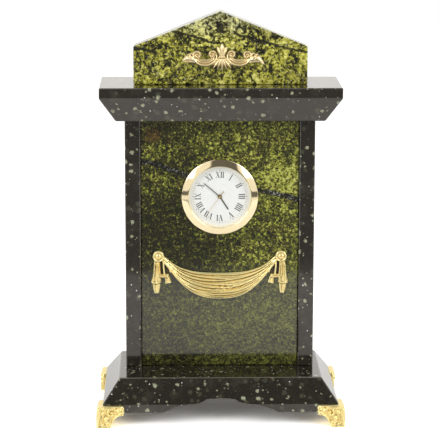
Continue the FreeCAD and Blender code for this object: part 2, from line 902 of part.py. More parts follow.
cannon_phase = 0.0
minute_wheel_phase = meshed_phase(cannon_teeth, cannon_phase, setting_angle, minute_wheel_teeth)
minute_pinion_phase = 0.0
hour_wheel_phase = meshed_phase(minute_pinion_teeth, minute_pinion_phase, setting_angle + half_turn,
                                hour_wheel_teeth)
centre_phase = 0.0
third_pinion_phase = meshed_phase(centre_teeth, centre_phase, third_wheel_angle, third_pinion_teeth)
third_phase = 0.0
seconds_pinion_phase = meshed_phase(third_teeth, third_phase, third_wheel_angle + half_turn,
                                    seconds_pinion_teeth)
seconds_phase = 0.0
fifth_pinion_phase = meshed_phase(seconds_teeth, seconds_phase, fifth_wheel_angle, fifth_pinion_teeth)
fifth_phase = 0.0
rotor_pinion_phase = meshed_phase(fifth_teeth, fifth_phase, fifth_wheel_angle, rotor_pinion_teeth)


def cannon_pinion():
    """Tube that carries the minute hand, with its pinion; the centre wheel slips on its back end."""
    d0 = minute_wheel_depth - pinion_overlap
    d1 = minute_wheel_depth + wheel_thickness + pinion_overlap
    tube = disc(cannon_outer, minute_hand_depth, centre_wheel_depth + thin_wheel_thickness)
    solid = fuse([tube, toothed(cannon_teeth, motion_module, cannon_phase, d0, d1, (0, 0))])
    return solid.cut(disc(cannon_inner, minute_hand_depth - overrun, back_plate_depth))


def hour_wheel():
    """Wheel and pipe that carry the hour hand."""
    back = hour_wheel_depth + wheel_thickness
    pipe = disc(hour_pipe_outer, hour_hand_depth, back)
    wheel = toothed(hour_wheel_teeth, hour_module, hour_wheel_phase, hour_wheel_depth, back, (0, 0))
    solid = fuse([pipe, wheel])
    return solid.cut(disc(hour_pipe_inner, hour_hand_depth - overrun, back + overrun))


def setting_arbor():
    """Minute wheel, its pinion and the long arbor that carries the knob."""
    front = front_plate_depth + fit_gap
    arbor = disc(setting_arbor_radius, front, knob_depth + knob_thickness / 2 - fit_gap, setting_place)
    wheel = toothed(minute_wheel_teeth, motion_module, minute_wheel_phase, minute_wheel_depth,
                    minute_wheel_depth + wheel_thickness, setting_place)
    start = hour_wheel_depth - pinion_overlap
    pinion = toothed(minute_pinion_teeth, hour_module, minute_pinion_phase, start,
                     minute_wheel_depth, setting_place)
    return fuse([arbor, wheel, pinion])


def centre_wheel():
    wheel = toothed(centre_teeth, centre_module, centre_phase, centre_wheel_depth,
                    centre_wheel_depth + thin_wheel_thickness, (0, 0))
    return wheel.cut(disc(cannon_outer + run_gap, centre_wheel_depth - overrun, back_plate_depth))


def pivoted(place, front, back):
    return disc(wheel_arbor_radius, front + fit_gap, back - fit_gap, place)


def third_wheel():
    arbor = pivoted(third_place, train_plate_depth, back_plate_back)
    start = centre_wheel_depth - pinion_overlap
    pinion = toothed(third_pinion_teeth, centre_module, third_pinion_phase, start,
                     third_wheel_depth, third_place)
    wheel = toothed(third_teeth, third_module, third_phase, third_wheel_depth,
                    third_wheel_depth + thin_wheel_thickness, third_place)
    return fuse([arbor, pinion, wheel])


def seconds_wheel():
    """Long central arbor with its pinion and wheel; its front end carries the second hand."""
    arbor = disc(seconds_arbor_radius, second_hand_depth + 2 * grip_gap, back_plate_back - fit_gap)
    start = third_wheel_depth - pinion_overlap
    pinion = toothed(seconds_pinion_teeth, third_module, seconds_pinion_phase, start,
                     seconds_wheel_depth, (0, 0))
    wheel = toothed(seconds_teeth, seconds_module, seconds_phase, seconds_wheel_depth,
                    seconds_wheel_depth + thin_wheel_thickness, (0, 0))
    return fuse([arbor, pinion, wheel])


def fifth_wheel():
    arbor = pivoted(fifth_place, train_plate_depth, back_plate_back)
    start = seconds_wheel_depth - pinion_overlap
    pinion = toothed(fifth_pinion_teeth, seconds_module, fifth_pinion_phase, start,
                     fifth_wheel_depth, fifth_place)
    wheel = toothed(fifth_teeth, fifth_module, fifth_phase, fifth_wheel_depth,
                    fifth_wheel_depth + thin_wheel_thickness, fifth_place)
    return fuse([arbor, pinion, wheel])


def rotor():
    """Magnet disc on a fine arbor, with the pinion that drives the fifth wheel."""
    arbor = disc(rotor_arbor_radius, train_plate_depth + fit_gap, back_plate_back - fit_gap, rotor_place)
    middle = third_wheel_depth + thin_wheel_thickness / 2
    magnet = disc(rotor_radius, middle - rotor_length / 2, middle + rotor_length / 2, rotor_place)
    start = fifth_wheel_depth - pinion_overlap
    end = fifth_wheel_depth + thin_wheel_thickness + pinion_overlap
    pinion = toothed(rotor_pinion_teeth, fifth_module, rotor_pinion_phase, start, end, rotor_place)
    return fuse([arbor, magnet, pinion])


# Plates

def posts(d0, d1):
    return [disc(post_radius, d0, d1, polar(post_distance, a)) for a in post_angles]


def drill(shape, holes, d0, d1):
    for place, radius in holes:
        shape = shape.cut(disc(radius, d0 - overrun, d1 + overrun, place))
    return shape


def screw_holes():
    return [(polar(post_distance, a), plate_screw_radius + run_gap) for a in post_angles]


def front_plate():
    plate = disc(housing_inner - fit_gap, front_plate_depth, front_plate_back)
    plate = fuse([plate] + posts(front_plate_back, train_plate_depth))
    holes = [((0, 0), hour_pipe_outer + run_gap), (setting_place, setting_arbor_radius + run_gap)]
    return drill(plate, holes + screw_holes(), front_plate_depth, train_plate_depth)


def train_plate():
    plate = disc(housing_inner - fit_gap, train_plate_depth, train_plate_back)
    plate = fuse([plate] + posts(train_plate_back, back_plate_depth))
    holes = [
        ((0, 0), cannon_outer + run_gap),
        (setting_place, setting_arbor_radius + run_gap),
        (third_place, wheel_arbor_radius + run_gap),
        (fifth_place, wheel_arbor_radius + run_gap),
        (rotor_place, rotor_arbor_radius + run_gap),
        (cell_centre, cell_radius + cell_clearance),
    ]
    return drill(plate, holes + screw_holes(), train_plate_depth, back_plate_depth)


def back_plate():
    plate = disc(housing_inner - fit_gap, back_plate_depth, back_plate_back)
    holes = [
        ((0, 0), seconds_arbor_radius + run_gap),
        (setting_place, setting_arbor_radius + run_gap),
        (third_place, wheel_arbor_radius + run_gap),
        (fifth_place, wheel_arbor_radius + run_gap),
        (rotor_place, rotor_arbor_radius + run_gap),
        (cell_centre, cell_radius + cell_clearance),
    ]
    return drill(plate, holes + screw_holes(), back_plate_depth, back_plate_back)


def plate_screws():
    screws = []
    for angle in post_angles:
        place = polar(post_distance, angle)
        shank = disc(plate_screw_radius, front_plate_back, back_plate_back, place)
        head_back = back_plate_back + plate_screw_head_height
        head = disc(plate_screw_head_radius, back_plate_back, head_back, place)
        screws.append(fuse([shank, head]))
    return Part.makeCompound(screws)


# Motor, circuit and cell

stator_depth = third_wheel_depth + (thin_wheel_thickness - stator_thickness) / 2
coil_axis_depth = stator_depth + stator_thickness + coil_core_thickness / 2
board_back = train_plate_back + board_thickness
cell_back = case_back_depth - fit_gap
cell_front = cell_back - cell_height
contact_back = cell_front - fit_gap


def stator():
    """Soft iron plate with a hole for the rotor and an arm to each end of the coil core."""
    x, z = rotor_place
    d0 = stator_depth
    d1 = stator_depth + stator_thickness
    half = coil_half_length
    right = x + stator_bar / 2
    left = -coil_distance - coil_core_width / 2
    plate = fuse([
        insert_box(x - stator_bar / 2, right, z - half, z + half, d0, d1),
        insert_box(left, right, z + half - stator_arm, z + half, d0, d1),
        insert_box(left, right, z - half, z - half + stator_arm, d0, d1),
    ])
    return plate.cut(disc(rotor_radius + stator_gap, d0 - overrun, d1 + overrun, rotor_place))


def coil_core():
    z = rotor_place[1]
    half_w = coil_core_width / 2
    half_l = coil_half_length
    d0 = coil_axis_depth - coil_core_thickness / 2
    return insert_box(-coil_distance - half_w, -coil_distance + half_w, z - half_l, z + half_l,
                      d0, d0 + coil_core_thickness)


def coil_winding():
    half_l = coil_half_length - stator_arm - layer_gap
    z = rotor_place[1]
    roll = Part.makeCylinder(coil_radius, 2 * half_l, at(-coil_distance, z - half_l, coil_axis_depth), UP)
    half_w = coil_core_width / 2 + grip_gap
    half_t = coil_core_thickness / 2 + grip_gap
    end = half_l + overrun
    hole = insert_box(-coil_distance - half_w, -coil_distance + half_w, z - end, z + end,
                      coil_axis_depth - half_t, coil_axis_depth + half_t)
    return roll.cut(hole)


def circuit_board():
    half_l = board_length / 2
    half_w = board_width / 2
    return insert_box(board_distance_x - half_l, board_distance_x + half_l, board_distance_z - half_w,
                      board_distance_z + half_w, train_plate_back, board_back)


def chip():
    x = board_distance_x - board_length / 2 + chip_size
    half = chip_size / 2
    return insert_box(x - half, x + half, board_distance_z - half, board_distance_z + half,
                      board_back, board_back + chip_height)


def quartz_crystal():
    x = board_distance_x + crystal_radius
    z = board_distance_z - crystal_drop - crystal_length / 2
    low = at(x, z, board_back + crystal_radius)
    return Part.makeCylinder(crystal_radius, crystal_length, low, UP)


def button_cell():
    """Flat cell with its smaller contact face to the front."""
    can = disc(cell_radius, cell_front + cell_rim, cell_back, cell_centre)
    cap = disc(cell_radius - cell_rim, cell_front, cell_back, cell_centre)
    return fuse([can, cap])


def cell_contact_positive():
    """Strip from the circuit board round to the side of the cell."""
    return sector(contact_radius - contact_strip_width / 2, contact_radius + contact_strip_width / 2,
                  contact_start_angle, contact_end_angle, board_back, board_back + contact_thickness)


def cell_contact_negative():
    """Bridge of spring strip under the cell, hung from the train plate at both ends."""
    x, z = cell_centre
    half = cell_radius + cell_clearance + contact_width / 2
    half_w = contact_width / 2
    d0 = contact_back - contact_thickness
    bridge = insert_box(x - half, x + half, z - half_w, z + half_w, d0, contact_back)
    ends = []
    for side in (-1, 1):
        edge = x + side * half
        inner = edge - side * contact_hook_width
        ends.append(insert_box(min(edge, inner), max(edge, inner), z - half_w, z + half_w, d0,
                               train_plate_depth))
    return fuse([bridge] + ends)


# Hands

def turned_to(shape, angle):
    """Turn a hand clockwise, as seen from the front, by an angle from twelve."""
    copy = shape.copy()
    copy.rotate(at(0, 0, 0), AXIS, angle)
    return copy


def stick_hand(length, width, tail, depth, bore):
    """A tapered stick with a round boss."""
    half = width / 2
    straight_share = 0.3
    tip_share = 0.5
    taper = length * straight_share
    tip = half * tip_share
    points = [(-half, -tail), (half, -tail), (half, taper), (tip, length), (-tip, length), (-half, taper)]
    corners = [(x, insert_height + z) for x, z in points]
    stick = prism(corners, panel_front + depth, panel_front + depth + hand_thickness)
    boss = disc(hand_boss_radius, depth, depth + hand_thickness)
    return fuse([stick, boss]).cut(disc(bore + grip_gap, depth - overrun, depth + overrun))


second_angle = shown_second * minute_mark_turn
minute_angle = (shown_minute + second_angle / full_turn) * minute_mark_turn
hour_angle = (shown_hour + minute_angle / full_turn) * hour_mark_turn


def hour_hand():
    hand = stick_hand(hour_hand_length, hour_hand_width, hand_tail, hour_hand_depth, hour_pipe_outer)
    return turned_to(hand, hour_angle)


def minute_hand():
    hand = stick_hand(minute_hand_length, minute_hand_width, hand_tail, minute_hand_depth, cannon_outer)
    return turned_to(hand, minute_angle)


def second_hand():
    half = second_hand_width / 2
    tail_half = second_hand_tail_width / 2
    points = [(-tail_half, -second_hand_tail), (tail_half, -second_hand_tail), (half, 0),
              (half, second_hand_length), (-half, second_hand_length), (-half, 0)]
    corners = [(x, insert_height + z) for x, z in points]
    depth = second_hand_depth
    stick = prism(corners, panel_front + depth, panel_front + depth + hand_thickness)
    boss = disc(cannon_outer, depth, depth + hand_thickness)
    hand = fuse([stick, boss])
    hand = hand.cut(disc(seconds_arbor_radius + grip_gap, depth + grip_gap, depth + overrun))
    return turned_to(hand, second_angle)


PIECES = {
    "base_block": base_block,
    "side_slab_left": lambda: side_slab(-1),
    "side_slab_right": lambda: side_slab(1),
    "front_panel": front_panel,
    "back_panel": back_panel,
    "cornice": cornice,
    "pediment": pediment,
    "foot_front_left": lambda: corner_foot(-1, -1),
    "foot_front_right": lambda: corner_foot(1, -1),
    "foot_back_left": lambda: corner_foot(-1, 1),
    "foot_back_right": lambda: corner_foot(1, 1),
    "foot_screws": foot_screws,
    "swag_ornament": swag_ornament,
    "pediment_ornament": pediment_ornament,
    "bezel": bezel,
    "lens": lens,
    "dial_ring": dial_ring,
    "dial": dial,
    "housing": housing,
    "gasket": gasket,
    "case_back": case_back,
    "battery_cover": battery_cover,
    "setting_knob": setting_knob,
    "hour_hand": hour_hand,
    "minute_hand": minute_hand,
    "second_hand": second_hand,
    "front_plate": front_plate,
    "train_plate": train_plate,
    "back_plate": back_plate,
    "plate_screws": plate_screws,
    "cannon_pinion": cannon_pinion,
    "hour_wheel": hour_wheel,
    "setting_arbor": setting_arbor,
    "centre_wheel": centre_wheel,
    "third_wheel": third_wheel,
    "seconds_wheel": seconds_wheel,
    "fifth_wheel": fifth_wheel,
    "rotor": rotor,
    "stator": stator,
    "coil_core": coil_core,
    "coil_winding": coil_winding,
    "circuit_board": circuit_board,
    "chip": chip,
    "quartz_crystal": quartz_crystal,
    "button_cell": button_cell,
    "cell_contact_positive": cell_contact_positive,
    "cell_contact_negative": cell_contact_negative,
}

os.makedirs("parts", exist_ok=True)
for name, make in PIECES.items():
    save(name, make())
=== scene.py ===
"""A mantel clock of polished stone slabs with gilt mounts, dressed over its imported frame.

Run as a script it builds every piece, its material and a light studio. Metres, +Z up, front towards -Y.
"""

import math

import bpy
import numpy as np
from bpy.props import FloatProperty, FloatVectorProperty, PointerProperty
from mathutils import Matrix, Vector


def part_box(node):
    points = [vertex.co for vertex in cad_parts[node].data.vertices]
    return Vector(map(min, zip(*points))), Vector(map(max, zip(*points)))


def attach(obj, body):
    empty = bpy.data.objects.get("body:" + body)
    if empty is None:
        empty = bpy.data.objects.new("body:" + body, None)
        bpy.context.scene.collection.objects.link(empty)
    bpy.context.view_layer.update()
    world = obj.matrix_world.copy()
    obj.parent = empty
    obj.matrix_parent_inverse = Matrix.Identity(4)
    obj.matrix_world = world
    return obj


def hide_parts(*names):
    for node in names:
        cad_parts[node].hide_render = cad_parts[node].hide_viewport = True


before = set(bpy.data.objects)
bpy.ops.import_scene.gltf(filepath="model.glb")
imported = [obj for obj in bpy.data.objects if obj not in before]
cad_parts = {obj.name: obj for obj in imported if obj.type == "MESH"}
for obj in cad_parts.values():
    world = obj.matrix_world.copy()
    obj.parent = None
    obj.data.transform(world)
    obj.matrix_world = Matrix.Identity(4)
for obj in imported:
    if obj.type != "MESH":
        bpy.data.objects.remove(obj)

bl_info = {
    "name": "Stone Mantel Clock",
    "version": (1, 0, 0),
    "blender": (4, 5, 0),
    "location": "View3D > Sidebar > Mantel Clock",
    "description": "Polished stone, gilt castings, a quartz insert and a light studio for the mantel clock",
    "category": "Object",
}

MM = 0.001
FULL_TURN = 2 * math.pi
SAME_POINT = 0.001 * MM


def in_mm(corner):
    """A corner of a node's box in whole thousandths of a millimetre, for the sizes given in millimetres."""
    return [round(c / MM, 3) for c in corner]


# Planes and places taken from the frame: in millimetres where in_mm is used, else in metres
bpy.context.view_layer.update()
PANEL_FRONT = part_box("front_panel")[0].y
GABLE_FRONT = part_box("pediment")[0].y
DIAL_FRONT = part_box("dial")[0].y
BEZEL_LOW, BEZEL_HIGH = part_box("bezel")
BASE_HALF_X, BASE_HALF_Y, BASE_TOP = in_mm(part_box("base_block")[1])
BASE_FOOT = in_mm(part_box("base_block")[0])[2]
SLAB_INNER, SLAB_FRONT, _ = in_mm(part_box("side_slab_right")[0])
SLAB_OUTER = in_mm(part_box("side_slab_right")[1])[0]
AXIS_X = (BEZEL_LOW.x + BEZEL_HIGH.x) / 2
AXIS_Z = (BEZEL_LOW.z + BEZEL_HIGH.z) / 2


# Sizes and colours that a user may change

def colour_property(name, description, default):
    return FloatVectorProperty(name=name, description=description, default=default, size=3, min=0, max=1,
                               subtype="COLOR")


def length_property(name, description, default, low, high):
    """A length that is given in millimetres and kept in metres."""
    return FloatProperty(name=name, description=description, default=default * MM, min=low * MM,
                         max=high * MM, subtype="DISTANCE", unit="LENGTH")


def angle_property(name, description, degrees):
    return FloatProperty(name=name, description=description, default=math.radians(degrees), subtype="ANGLE",
                         unit="ROTATION")


def level_property(name, description, default, high=1):
    return FloatProperty(name=name, description=description, default=default, min=0, max=high)


class ClockStone(bpy.types.PropertyGroup):
    dark: colour_property("Dark stone", "Ground colour of the dark slabs", (0.0170, 0.0138, 0.0100))
    cloud: colour_property("Clouds", "Paler clouds in the dark slabs", (0.032, 0.029, 0.022))
    speck: colour_property("Specks", "Pale green specks in the dark slabs", (0.42, 0.45, 0.30))
    fleck: colour_property("Flecks", "Small white flecks", (0.72, 0.72, 0.68))
    moss_dark: colour_property("Moss, dark", "Darkest fibres of the green panel", (0.009, 0.010, 0.003))
    moss: colour_property("Moss", "Middle green of the panel", (0.074, 0.080, 0.008))
    moss_bright: colour_property("Moss, bright", "Bright yellow green of the panel", (0.480, 0.505, 0.070))
    gable: colour_property("Gable", "Yellow green of the gable block", (0.480, 0.460, 0.050))
    gable_pale: colour_property("Gable, pale", "Pale green near the gable's point", (0.460, 0.460, 0.300))
    polish: level_property("Polish", "Roughness of the polished faces", 0.10)


class ClockGilt(bpy.types.PropertyGroup):
    swag: colour_property("Swag gilt", "Gilt of the drapery and the feet", (1.000, 0.790, 0.330))
    mount: colour_property("Mount gilt", "Paler gilt of the gable mount", (0.960, 0.800, 0.470))
    patina: colour_property("Patina", "Brown left in the hollows", (0.085, 0.045, 0.012))
    bezel: colour_property("Bezel gilt", "Polished gilt of the bezel", (0.970, 0.820, 0.520))
    voxel: length_property("Casting voxel", "Finest detail kept when a casting is fused", 0.22, 0.05, 1)


class ClockDial(bpy.types.PropertyGroup):
    face: colour_property("Dial", "Colour of the dial card", (0.960, 0.955, 0.945))
    ink: colour_property("Ink", "Colour of the printed numerals", (0.035, 0.035, 0.040))
    numeral_height: length_property("Numeral height", "Height of the Roman numerals", 4.0, 1, 6)
    numeral_radius: length_property("Numeral radius", "Radius of the numeral centres", 14.4, 5, 18)
    dot_radius: length_property("Dot circle", "Radius of the circle of minute dots", 17.4, 5, 19)


class ClockStage(bpy.types.PropertyGroup):
    camera_place: FloatVectorProperty(name="Camera", description="Place of the camera", size=3, unit="LENGTH",
                                      subtype="XYZ", default=(-0.03247, -1.28781, 0.40215))
    pitch: angle_property("Pitch", "How far the camera looks down", 12.033)
    yaw: angle_property("Yaw", "How far the camera turns to the left", -1.455)
    roll: angle_property("Roll", "How far the camera leans", 0.135)
    lens: FloatProperty(name="Lens", description="Focal length on the sensor, in millimetres", default=163.9,
                        min=10, max=400)
    lamp_power: level_property("Lamp power", "Watts of each soft lamp", 7.0, 100)
    ambient: level_property("Ambient", "Level of the light from all around", 0.62, 2)


# Shader maths

class Term:
    """A number that varies over a surface. Sums and products of terms add Math nodes."""

    def __init__(self, paint, socket):
        self.paint = paint
        self.socket = socket

    def __add__(self, other):
        return self.paint.math("ADD", self, other)

    def __radd__(self, other):
        return self.paint.math("ADD", other, self)

    def __sub__(self, other):
        return self.paint.math("SUBTRACT", self, other)

    def __rsub__(self, other):
        return self.paint.math("SUBTRACT", other, self)

    def __mul__(self, other):
        return self.paint.math("MULTIPLY", self, other)

    def __rmul__(self, other):
        return self.paint.math("MULTIPLY", other, self)

    def __truediv__(self, other):
        return self.paint.math("DIVIDE", self, other)


class Nodes:
    """Adds nodes and terms to one node tree."""

    def __init__(self, tree):
        self.tree = tree
        self.place = None

    def node(self, kind, settings=None, values=None):
        """Adds a node, makes its settings and then fills its sockets with values or links."""
        node = self.tree.nodes.new(kind)
        for key, value in (settings or {}).items():
            if key == "stops":
                self.set_stops(node.color_ramp, value)
            else:
                setattr(node, key, value)
        for key, value in (values or {}).items():
            self.fill(node.inputs[key], value)
        return node

    def set_stops(self, ramp, stops):
        while len(ramp.elements) < len(stops):
            ramp.elements.new(1.0)
        for element, (position, colour) in zip(ramp.elements, stops):
            element.position = position
            element.color = (*colour, 1.0)

    def fill(self, socket, value):
        if isinstance(value, Term):
            self.tree.links.new(value.socket, socket)
        elif isinstance(value, bpy.types.NodeSocket):
            self.tree.links.new(value, socket)
        elif hasattr(value, "__len__") and socket.type == "RGBA":
            socket.default_value = (*value[:3], 1.0)
        else:
            socket.default_value = value

    def math(self, operation, first, second=0):
        result = self.node("ShaderNodeMath", {"operation": operation}, {0: first, 1: second})
        return Term(self, result.outputs[0])

    def most(self, first, second):
        """The larger of two numbers."""
        return self.math("MAXIMUM", first, second)

    def vector(self, operation, first, second):
        return self.node("ShaderNodeVectorMath", {"operation": operation}, {0: first, 1: second}).outputs[0]

    def mapped(self, place=None, turn=(0, 0, 0), scale=(1, 1, 1), shift=(0, 0, 0)):
        values = {"Vector": place or self.place, "Rotation": turn, "Scale": scale, "Location": shift}
        return self.node("ShaderNodeMapping", None, values).outputs[0]

    def axis(self, letter, place=None):
        parts = self.node("ShaderNodeSeparateXYZ", None, {0: place or self.place})
        return Term(self, parts.outputs[letter])

    def step(self, term, start, end):
        """Rises smoothly from 0 at start to 1 at end."""
        values = {"Value": term, "From Min": start, "From Max": end}
        settings = {"interpolation_type": "SMOOTHSTEP"}
        return Term(self, self.node("ShaderNodeMapRange", settings, values).outputs["Result"])

    def window(self, term, low, high, soft):
        """1 between low and high, with soft ends inside them."""
        return self.step(term, low, low + soft) * self.step(term, high, high - soft)

    def noise(self, size, detail=3, roughness=0.5, distortion=0, place=None):
        """Cloudy noise whose features are about that size, in metres."""
        values = {"Vector": place or self.place, "Scale": 1 / size, "Detail": detail, "Roughness": roughness,
                  "Distortion": distortion}
        return Term(self, self.node("ShaderNodeTexNoise", None, values).outputs[0])

    def warped(self, size, amount, place=None):
        """The place moved about by noise of that size, by about that amount."""
        start = place or self.place
        noise = self.node("ShaderNodeTexNoise", None, {"Vector": start, "Scale": 1 / size, "Detail": 3})
        centred = self.vector("SUBTRACT", noise.outputs["Color"], (0.5, 0.5, 0.5))
        return self.vector("ADD", start, self.vector("MULTIPLY", centred, (amount, amount, amount)))

    def cells(self, size, place=None, feature="F1"):
        """Distance, in cell sizes, and a random number for each cell."""
        node = self.node("ShaderNodeTexVoronoi", {"feature": feature},
                         {"Vector": place or self.place, "Scale": 1 / size})
        distance = Term(self, node.outputs["Distance"])
        if feature == "DISTANCE_TO_EDGE":
            return distance, None
        chance = Term(self, self.node("ShaderNodeSeparateColor", None, {0: node.outputs["Color"]}).outputs[0])
        return distance, chance

    def mix(self, factor, low, high):
        node = self.node("ShaderNodeMix", {"data_type": "RGBA"}, {0: factor, 6: low, 7: high})
        return node.outputs[2]

    def mix_shaders(self, factor, first, second):
        values = {0: factor, 1: first.outputs[0], 2: second.outputs[0]}
        return self.node("ShaderNodeMixShader", None, values)


class Paint(Nodes):
    """One node material, built from terms and colours."""

    def __init__(self, name):
        self.material = bpy.data.materials.new(name)
        self.material.use_nodes = True
        super().__init__(self.material.node_tree)
        self.shader = self.tree.nodes["Principled BSDF"]
        self.place = self.node("ShaderNodeTexCoord").outputs["Object"]

    def bump(self, height, strength, depth):
        values = {"Height": height, "Strength": strength, "Distance": depth}
        self.fill(self.shader.inputs["Normal"], self.node("ShaderNodeBump", None, values).outputs[0])

    def finish(self, **values):
        """Fills the shader's own sockets, named with _ for a space."""
        for key, value in values.items():
            self.fill(self.shader.inputs[key.replace("_", " ")], value)
        return self.material

    def show(self, shader):
        """Makes a shader other than the first one the surface."""
        output = next(n for n in self.tree.nodes if n.type == "OUTPUT_MATERIAL")
        self.tree.links.new(shader.outputs[0], output.inputs["Surface"])


def dress(node, material):
    """Gives a node or a piece its material."""
    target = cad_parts[node] if isinstance(node, str) else node
    target.data.materials.clear()
    target.data.materials.append(material)


# Modelling helpers

def clear_selection():
    active = bpy.context.view_layer.objects.active
    if active is not None and active.mode != "OBJECT":
        bpy.ops.object.mode_set(mode="OBJECT")
    bpy.ops.object.select_all(action="DESELECT")


def select_only(pieces):
    clear_selection()
    for piece in pieces:
        piece.select_set(True)
    bpy.context.view_layer.objects.active = pieces[0]


def join(name, pieces):
    select_only(pieces)
    if len(pieces) > 1:
        bpy.ops.object.join()
    pieces[0].name = name
    pieces[0].data.name = name
    return pieces[0]


def apply_modifiers(piece):
    select_only([piece])
    for modifier in list(piece.modifiers):
        bpy.ops.object.modifier_apply(modifier=modifier.name)


def edit_all():
    """Opens the active piece for editing with everything selected."""
    bpy.ops.object.mode_set(mode="EDIT")
    bpy.ops.mesh.select_all(action="SELECT")


def extrude(x, y, z):
    bpy.ops.mesh.extrude_region_move(TRANSFORM_OT_translate={"value": (x, y, z)})


def end_editing():
    """Turns all faces outward and goes back to object mode."""
    bpy.ops.mesh.select_all(action="SELECT")
    bpy.ops.mesh.normals_make_consistent(inside=False)
    bpy.ops.object.mode_set(mode="OBJECT")


def recalculate(piece):
    select_only([piece])
    edit_all()
    bpy.ops.mesh.remove_doubles(threshold=SAME_POINT)
    end_editing()


def place_piece(piece, body, material, replaced=()):
    """Dresses a finished piece and hangs it on its body."""
    dress(piece, material)
    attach(piece, body)
    if replaced:
        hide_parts(*replaced)


def spline(points):
    """A smooth line through points; it takes a share from 0 to 1 and gives a point."""
    count = len(points)
    dims = range(len(points[0]))

    def at(share):
        position = min(max(share, 0.0), 1.0) * (count - 1)
        i = min(int(position), count - 2)
        t = position - i
        p0, p1, p2, p3 = (points[min(max(k, 0), count - 1)] for k in (i - 1, i, i + 1, i + 2))
        weights = ((-t + 2 * t * t - t ** 3) / 2, (2 - 5 * t * t + 3 * t ** 3) / 2,
                   (t + 4 * t * t - 3 * t ** 3) / 2, (t ** 3 - t * t) / 2)
        return tuple(weights[0] * p0[d] + weights[1] * p1[d] + weights[2] * p2[d] + weights[3] * p3[d]
                     for d in dims)

    return at


def relief_block(name, along, across, surface):
    """A closed relief: a grid drawn out to a block, whose top follows the surface and whose back lies flat.

    surface takes shares along (0 to 1) and across (-1 to 1) and gives the ground point and the relief point.
    """
    clear_selection()
    bpy.ops.mesh.primitive_grid_add(x_subdivisions=along, y_subdivisions=across, size=2)
    piece = bpy.context.object
    edit_all()
    extrude(0, 0, 1)
    bpy.ops.object.mode_set(mode="OBJECT")
    for vertex in piece.data.vertices:
        ground, top = surface((vertex.co.x + 1) / 2, vertex.co.y)
        vertex.co = top if vertex.co.z > 0.5 else ground
    recalculate(piece)
    piece.name = name
    return piece


def strip(name, path, widths, height, place, along, across):
    """A band of relief along a path, with half widths along it; height takes shares along and across."""
    line = spline(path)
    half = spline([(w,) for w in widths])
    gap = 0.5 / along

    def surface(t, s):
        x, z = line(t)
        x0, z0 = line(max(t - gap, 0))
        x1, z1 = line(min(t + gap, 1))
        length = math.hypot(x1 - x0, z1 - z0) or 1.0
        nx, nz = -(z1 - z0) / length, (x1 - x0) / length
        w = half(t)[0] * s
        a, b = x + nx * w, z + nz * w
        return place(a, b, 0), place(a, b, height(t, s))

    return relief_block(name, along, across, surface)


def strips(name, rows, place, spot=lambda x, z: (x, z)):
    """Bands of relief, each row a path, its half widths, its height and its counts along and across.

    spot turns the two numbers of a path's point into x and z.
    """
    return [strip(name, [spot(*point) for point in path], widths, height, place, along, across)
            for path, widths, height, along, across in rows]


def rounded(height, groove=0.0, end=0.25):
    """A crowned section that sinks towards both ends of the band, with a groove along its middle."""
    def at(t, s):
        crown = math.sqrt(max(1 - s * s, 0.0)) * 0.75 + 0.25
        fall = min(1.0, 0.45 + min(t, 1 - t) / end)
        return height * crown * fall * (1 - groove * math.exp(-(s / 0.22) ** 2))
    return at


def curl(centre, radius, start, turns, inner_share=0.2, count=14):
    """Points of a spiral from its outside to its eye; start and turns in full turns, from +x towards +z."""
    points = []
    for i in range(count):
        t = i / (count - 1)
        angle = (start + turns * t) * FULL_TURN
        r = radius * (1 - (1 - inner_share) * t)
        points.append((centre[0] + r * math.cos(angle), centre[1] + r * math.sin(angle)))
    return points


def mirrored(points):
    return [(-x, z) for x, z in points]


def turned(name, profile, centre, segments=96):
    """A closed ring or dome about the axis Y, from circles of (radius, y); a last radius of 0 closes it."""
    clear_selection()
    first_radius, first_y = profile[0]
    bpy.ops.mesh.primitive_circle_add(vertices=segments, radius=first_radius, fill_type="NOTHING",
                                      location=(centre[0], first_y, centre[1]), rotation=(math.pi / 2, 0, 0))
    piece = bpy.context.object
    bpy.ops.object.transform_apply(location=True, rotation=True, scale=True)
    edit_all()
    radius, y = first_radius, first_y
    for next_radius, next_y in profile[1:]:
        extrude(0, next_y - y, 0)
        if next_radius == 0:
            bpy.ops.mesh.merge(type="CENTER")
            break
        ratio = next_radius / radius
        bpy.ops.transform.resize(value=(ratio, 1, ratio), center_override=(centre[0], next_y, centre[1]))
        radius, y = next_radius, next_y
    bpy.ops.mesh.select_all(action="SELECT")
    bpy.ops.mesh.remove_doubles(threshold=SAME_POINT)
    bpy.ops.mesh.select_all(action="DESELECT")
    bpy.ops.mesh.select_non_manifold()
    if profile[-1][0] == 0:
        bpy.ops.mesh.edge_face_add()
    else:
        bpy.ops.mesh.bridge_edge_loops()
    end_editing()
    piece.name = name
    return piece


def fuse_casting(piece, voxel, smooth=2, keep_share=0.6):
    """Fuses overlapping closed forms into one casting and softens it."""
    remesh = piece.modifiers.new("Fuse", "REMESH")
    remesh.mode = "VOXEL"
    remesh.voxel_size = voxel
    remesh.use_smooth_shade = True
    soften = piece.modifiers.new("Soften", "SMOOTH")
    soften.factor = 0.5
    soften.iterations = smooth
    thin = piece.modifiers.new("Thin", "DECIMATE")
    thin.ratio = keep_share
    apply_modifiers(piece)


